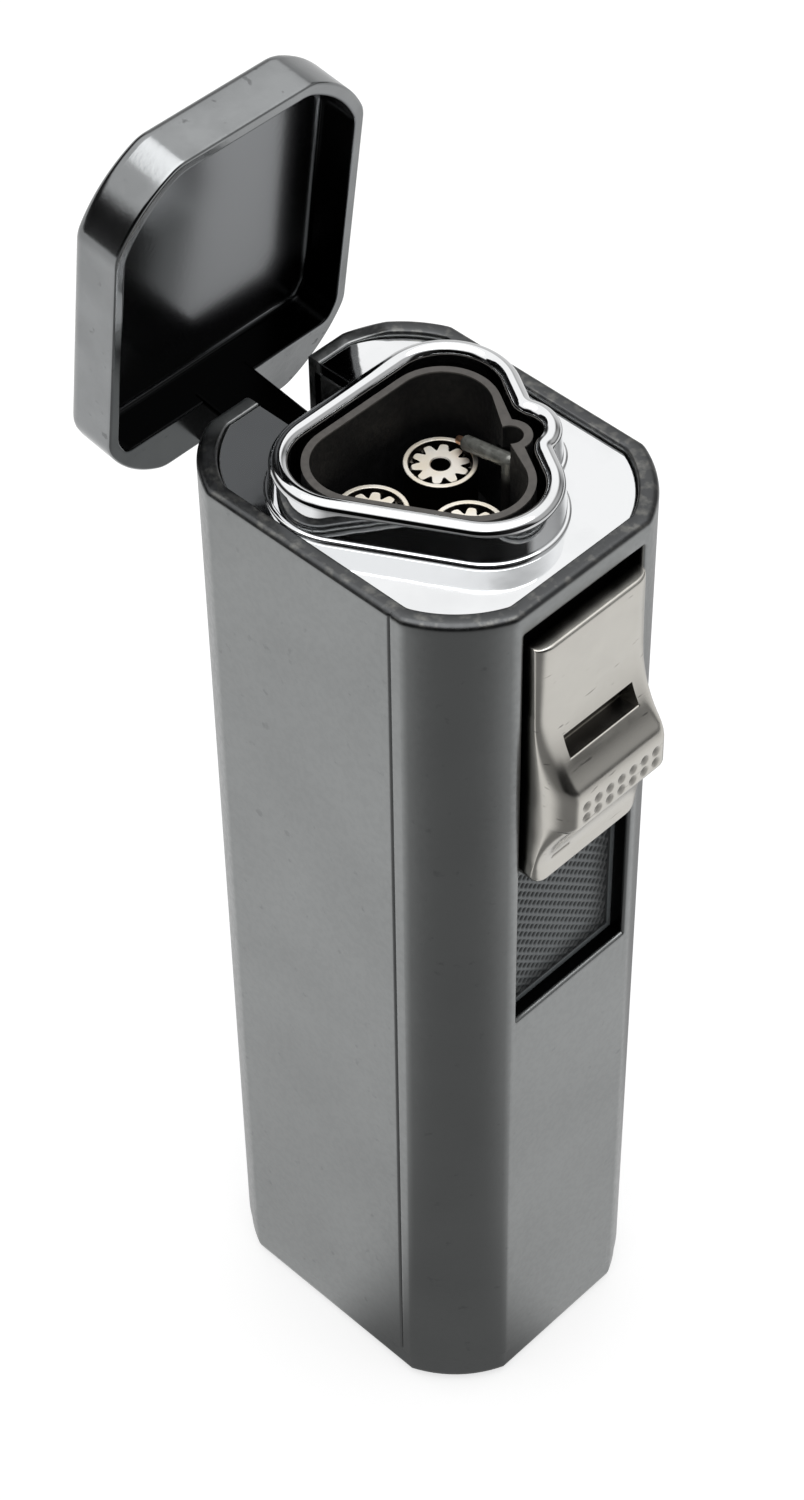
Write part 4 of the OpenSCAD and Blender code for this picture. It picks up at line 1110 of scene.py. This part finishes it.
class LIGHTER_OT_slide(bpy.types.Operator):
    """Build the thumb slide, the hatched panel behind it and its return spring"""

    bl_idname = "lighter.slide"
    bl_label = "Thumb slide"

    def execute(self, context):
        shape, finish = sizes_mm(context.scene), context.scene.lighter_finish
        solid, grime = slide_solid(shape)
        piece = put("slide", solid, bright_nickel(finish), "slide", 50)
        mark(piece, "grime", grime)
        put("window_panel", panel_solid(shape), hatched_moulding(finish), "case")
        coil, foot = spring_solid()
        spring = put("slide_spring", coil, plain_finish("steel"), "case")
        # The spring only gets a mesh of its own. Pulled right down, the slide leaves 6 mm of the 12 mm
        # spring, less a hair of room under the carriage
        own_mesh(spring)
        return {"FINISHED"}


class LIGHTER_OT_lid(bpy.types.Operator):
    """Build the flip lid with its hinge arm"""

    bl_idname = "lighter.lid"
    bl_label = "Flip lid"

    def execute(self, context):
        shape, finish = sizes_mm(context.scene), context.scene.lighter_finish
        solid, in_hollow = lid_solid(shape)
        piece = put("lid", solid, polished_gunmetal(finish), "lid")
        mark(piece, "hollow", in_hollow)
        return {"FINISHED"}


class LIGHTER_OT_works(bpy.types.Operator):
    """Give the hinge pin, the screws and the inner works their finishes"""

    bl_idname = "lighter.works"
    bl_label = "Inner works"

    def execute(self, context):
        for part in frame["record"]["subparts"]:
            node, slot = frame["nodes"][part["node"]], part["material_slot"]
            if node.hide_render:
                continue
            if slot not in PLAIN:
                raise RuntimeError(part["node"] + " has no finish")
            node.data.materials.clear()
            node.data.materials.append(plain_finish(slot))
        return {"FINISHED"}


class LIGHTER_OT_stage(bpy.types.Operator):
    """Lay the floor, hang the lamp and set the camera"""

    bl_idname = "lighter.stage"
    bl_label = "Stage"

    def execute(self, context):
        scene, stage = context.scene, context.scene.lighter_stage
        self.floor(scene, stage)
        self.sky(scene, stage)
        lamp_size, lamp_height = 0.7, 0.75
        data = bpy.data.lights.new("Lamp over", "AREA")
        data.energy, data.size = stage.lamp_power, lamp_size
        lamp = bpy.data.objects.new("Lamp over", data)
        lamp.location = (0.0, 0.0, lamp_height)
        scene.collection.objects.link(lamp)
        self.camera(scene)
        scene.view_settings.view_transform = "Standard"
        return {"FINISHED"}

    def floor(self, scene, stage):
        """A wide pale floor: white to the eye, with the object's soft shadow on it. In the metal it shows painted
        shade, falling off with distance, close to the object, towards the onlooker and in the lee, as a lit table
        does."""
        reach, z = 3.0, -0.0002
        mesh = bpy.data.meshes.new("floor")
        mesh.from_pydata([(x * reach, y * reach, z) for x, y in QUADRANTS.tolist()], [], [(0, 1, 2, 3)])
        floor = bpy.data.objects.new("floor", mesh)
        scene.collection.objects.link(floor)
        made = bpy.data.materials.new("White table")
        made.use_nodes = True
        tree = made.node_tree
        tree.nodes.clear()
        place = add(tree, "ShaderNodeTexCoord").outputs["Object"]
        far = add(tree, "ShaderNodeVectorMath", {0: place}, operation="LENGTH").outputs["Value"]
        way = add(tree, "ShaderNodeVectorMath", {0: place}, operation="NORMALIZE").outputs[0]
        onlooker, lee_shadow = dot(tree, way, (-1 / SQRT2, -1 / SQRT2, 0)), dot(tree, way, (0.99, 0.15, 0))
        fade = between(tree, far, 0.05, 0.3, 1.0, 0.75)
        # Painted shade in the metal: darker close to the object, towards the onlooker, and in the object's lee to
        # the right
        near = between(tree, far, 0.012, 0.045, 0.86, 1.0)
        shade = between(tree, onlooker, 0.6, 0.95, near, 0.25)
        shade = between(tree, lee_shadow, 0.8, 0.97, shade, between(tree, far, 0.03, 0.12, 0.4, 1.0))
        glossy, seen = ray_kinds(tree)
        plain_view = 0.75
        strength = either(tree, seen, value_of(tree, "MULTIPLY", fade, shade), plain_view)
        power = value_of(tree, "MULTIPLY", strength, value_of(tree, "MAXIMUM", seen, glossy))
        glow = add(tree, "ShaderNodeEmission", {"Color": stage.floor, "Strength": power}).outputs[0]
        dull = add(tree, "ShaderNodeBsdfDiffuse", {"Color": (0.45, 0.45, 0.45, 1)}).outputs[0]
        both = add(tree, "ShaderNodeAddShader", {0: glow, 1: dull}).outputs[0]
        only = add(tree, "ShaderNodeMixShader", {0: glossy, 1: both, 2: glow}).outputs[0]
        add(tree, "ShaderNodeOutputMaterial", {"Surface": only})
        mesh.materials.append(made)

    def sky(self, scene, stage):
        """White behind the object. In the metal a bright ceiling over a darker room, lighter to the front
        right and far behind, and the dark onlooker. Soft grey light besides."""
        scene.world = bpy.data.worlds.new("Studio")
        scene.world.use_nodes = True
        tree = scene.world.node_tree
        tree.nodes.clear()
        way = add(tree, "ShaderNodeTexCoord").outputs["Generated"]
        up = axes(tree, way)[2]
        front_right, beyond, over, onlooker = (
            dot(tree, way, to) for to in ((0.55, -0.83, 0), (0.86, 0.51, 0), (0, 0.25, 1), (-0.71, -0.7, 0))
        )
        walls = between(tree, front_right, 0.2, 0.8, 0.02, stage.room)
        room = between(tree, up, 0.0, 0.35, 0.04, walls)
        room = between(tree, beyond, 0.78, 0.95, room, 0.6)
        ceiling = between(tree, over, 0.55, 0.72, room, 1.0)
        onlooker = between(tree, onlooker, 0.28, 0.48, 1.0, 0.04)
        onlooker = between(tree, up, 0.66, 0.78, onlooker, 1.0)
        glossy, seen = ray_kinds(tree)
        fill = 0.55
        soft = either(tree, glossy, fill, value_of(tree, "MULTIPLY", ceiling, onlooker))
        strength = either(tree, seen, soft, 1.0)
        glow = add(tree, "ShaderNodeBackground", {"Color": (1, 1, 1, 1), "Strength": strength}).outputs[0]
        add(tree, "ShaderNodeOutputWorld", {"Surface": glow})

    def camera(self, scene):
        """The camera at the photograph's angle: turned, tilted and rolled about the middle of the body, and
        shifted, as fitted to the body's edges."""
        turn, tilt, roll = (math.radians(a) for a in (-45.21, 46.704, -0.896))
        middle, far, to_right, to_top = np.array([0, 0, 0.035]), 0.213854, -0.001705, 0.008648
        back = np.array([math.sin(turn) * math.cos(tilt), -math.cos(turn) * math.cos(tilt), math.sin(tilt)])
        right = np.array([math.cos(turn), math.sin(turn), 0.0])
        up = np.cross(back, right)
        c, s = math.cos(roll), math.sin(roll)
        right, up = c * right + s * up, c * up - s * right
        data = bpy.data.cameras.new("Camera")
        data.sensor_fit, data.sensor_width, data.sensor_height = "AUTO", 36.0, 36.0
        data.lens, data.clip_start, data.clip_end = 83.54, 0.01, 20.0
        camera = bpy.data.objects.new("Camera", data)
        turned = Matrix([[*row, 0.0] for row in np.column_stack([right, up, back])] + [[0, 0, 0, 1]])
        place = middle + back * far + right * to_right + up * to_top
        camera.matrix_world = Matrix.Translation(place) @ turned
        scene.collection.objects.link(camera)
        scene.camera = camera


class LIGHTER_PT_panel(bpy.types.Panel):
    """Sizes, finishes and pieces of the lighter"""

    bl_idname = "LIGHTER_PT_panel"
    bl_label = "Pocket jet lighter"
    bl_space_type = "VIEW_3D"
    bl_region_type = "UI"
    bl_category = "Lighter"

    def draw(self, context):
        for group in (context.scene.lighter_shape, context.scene.lighter_finish, context.scene.lighter_stage):
            box = self.layout.box()
            for name in group.__annotations__:
                box.prop(group, name)
        for operator in OPERATORS:
            self.layout.operator(operator.bl_idname)


GROUPS = {"lighter_shape": LighterShape, "lighter_finish": LighterFinish, "lighter_stage": LighterStage}
OPERATORS = (
    LIGHTER_OT_shells,
    LIGHTER_OT_burner,
    LIGHTER_OT_slide,
    LIGHTER_OT_lid,
    LIGHTER_OT_works,
    LIGHTER_OT_stage,
)


def register():
    for made in (*GROUPS.values(), *OPERATORS, LIGHTER_PT_panel):
        bpy.utils.register_class(made)
    for name, group in GROUPS.items():
        setattr(bpy.types.Scene, name, bpy.props.PointerProperty(type=group))


def unregister():
    for name in GROUPS:
        delattr(bpy.types.Scene, name)
    for made in (LIGHTER_PT_panel, *reversed(OPERATORS), *reversed(list(GROUPS.values()))):
        bpy.utils.unregister_class(made)


def main():
    register()
    for operator in OPERATORS:
        area, name = operator.bl_idname.split(".")
        getattr(getattr(bpy.ops, area), name)()
    bpy.context.view_layer.update()


if __name__ == "__main__":
    main()
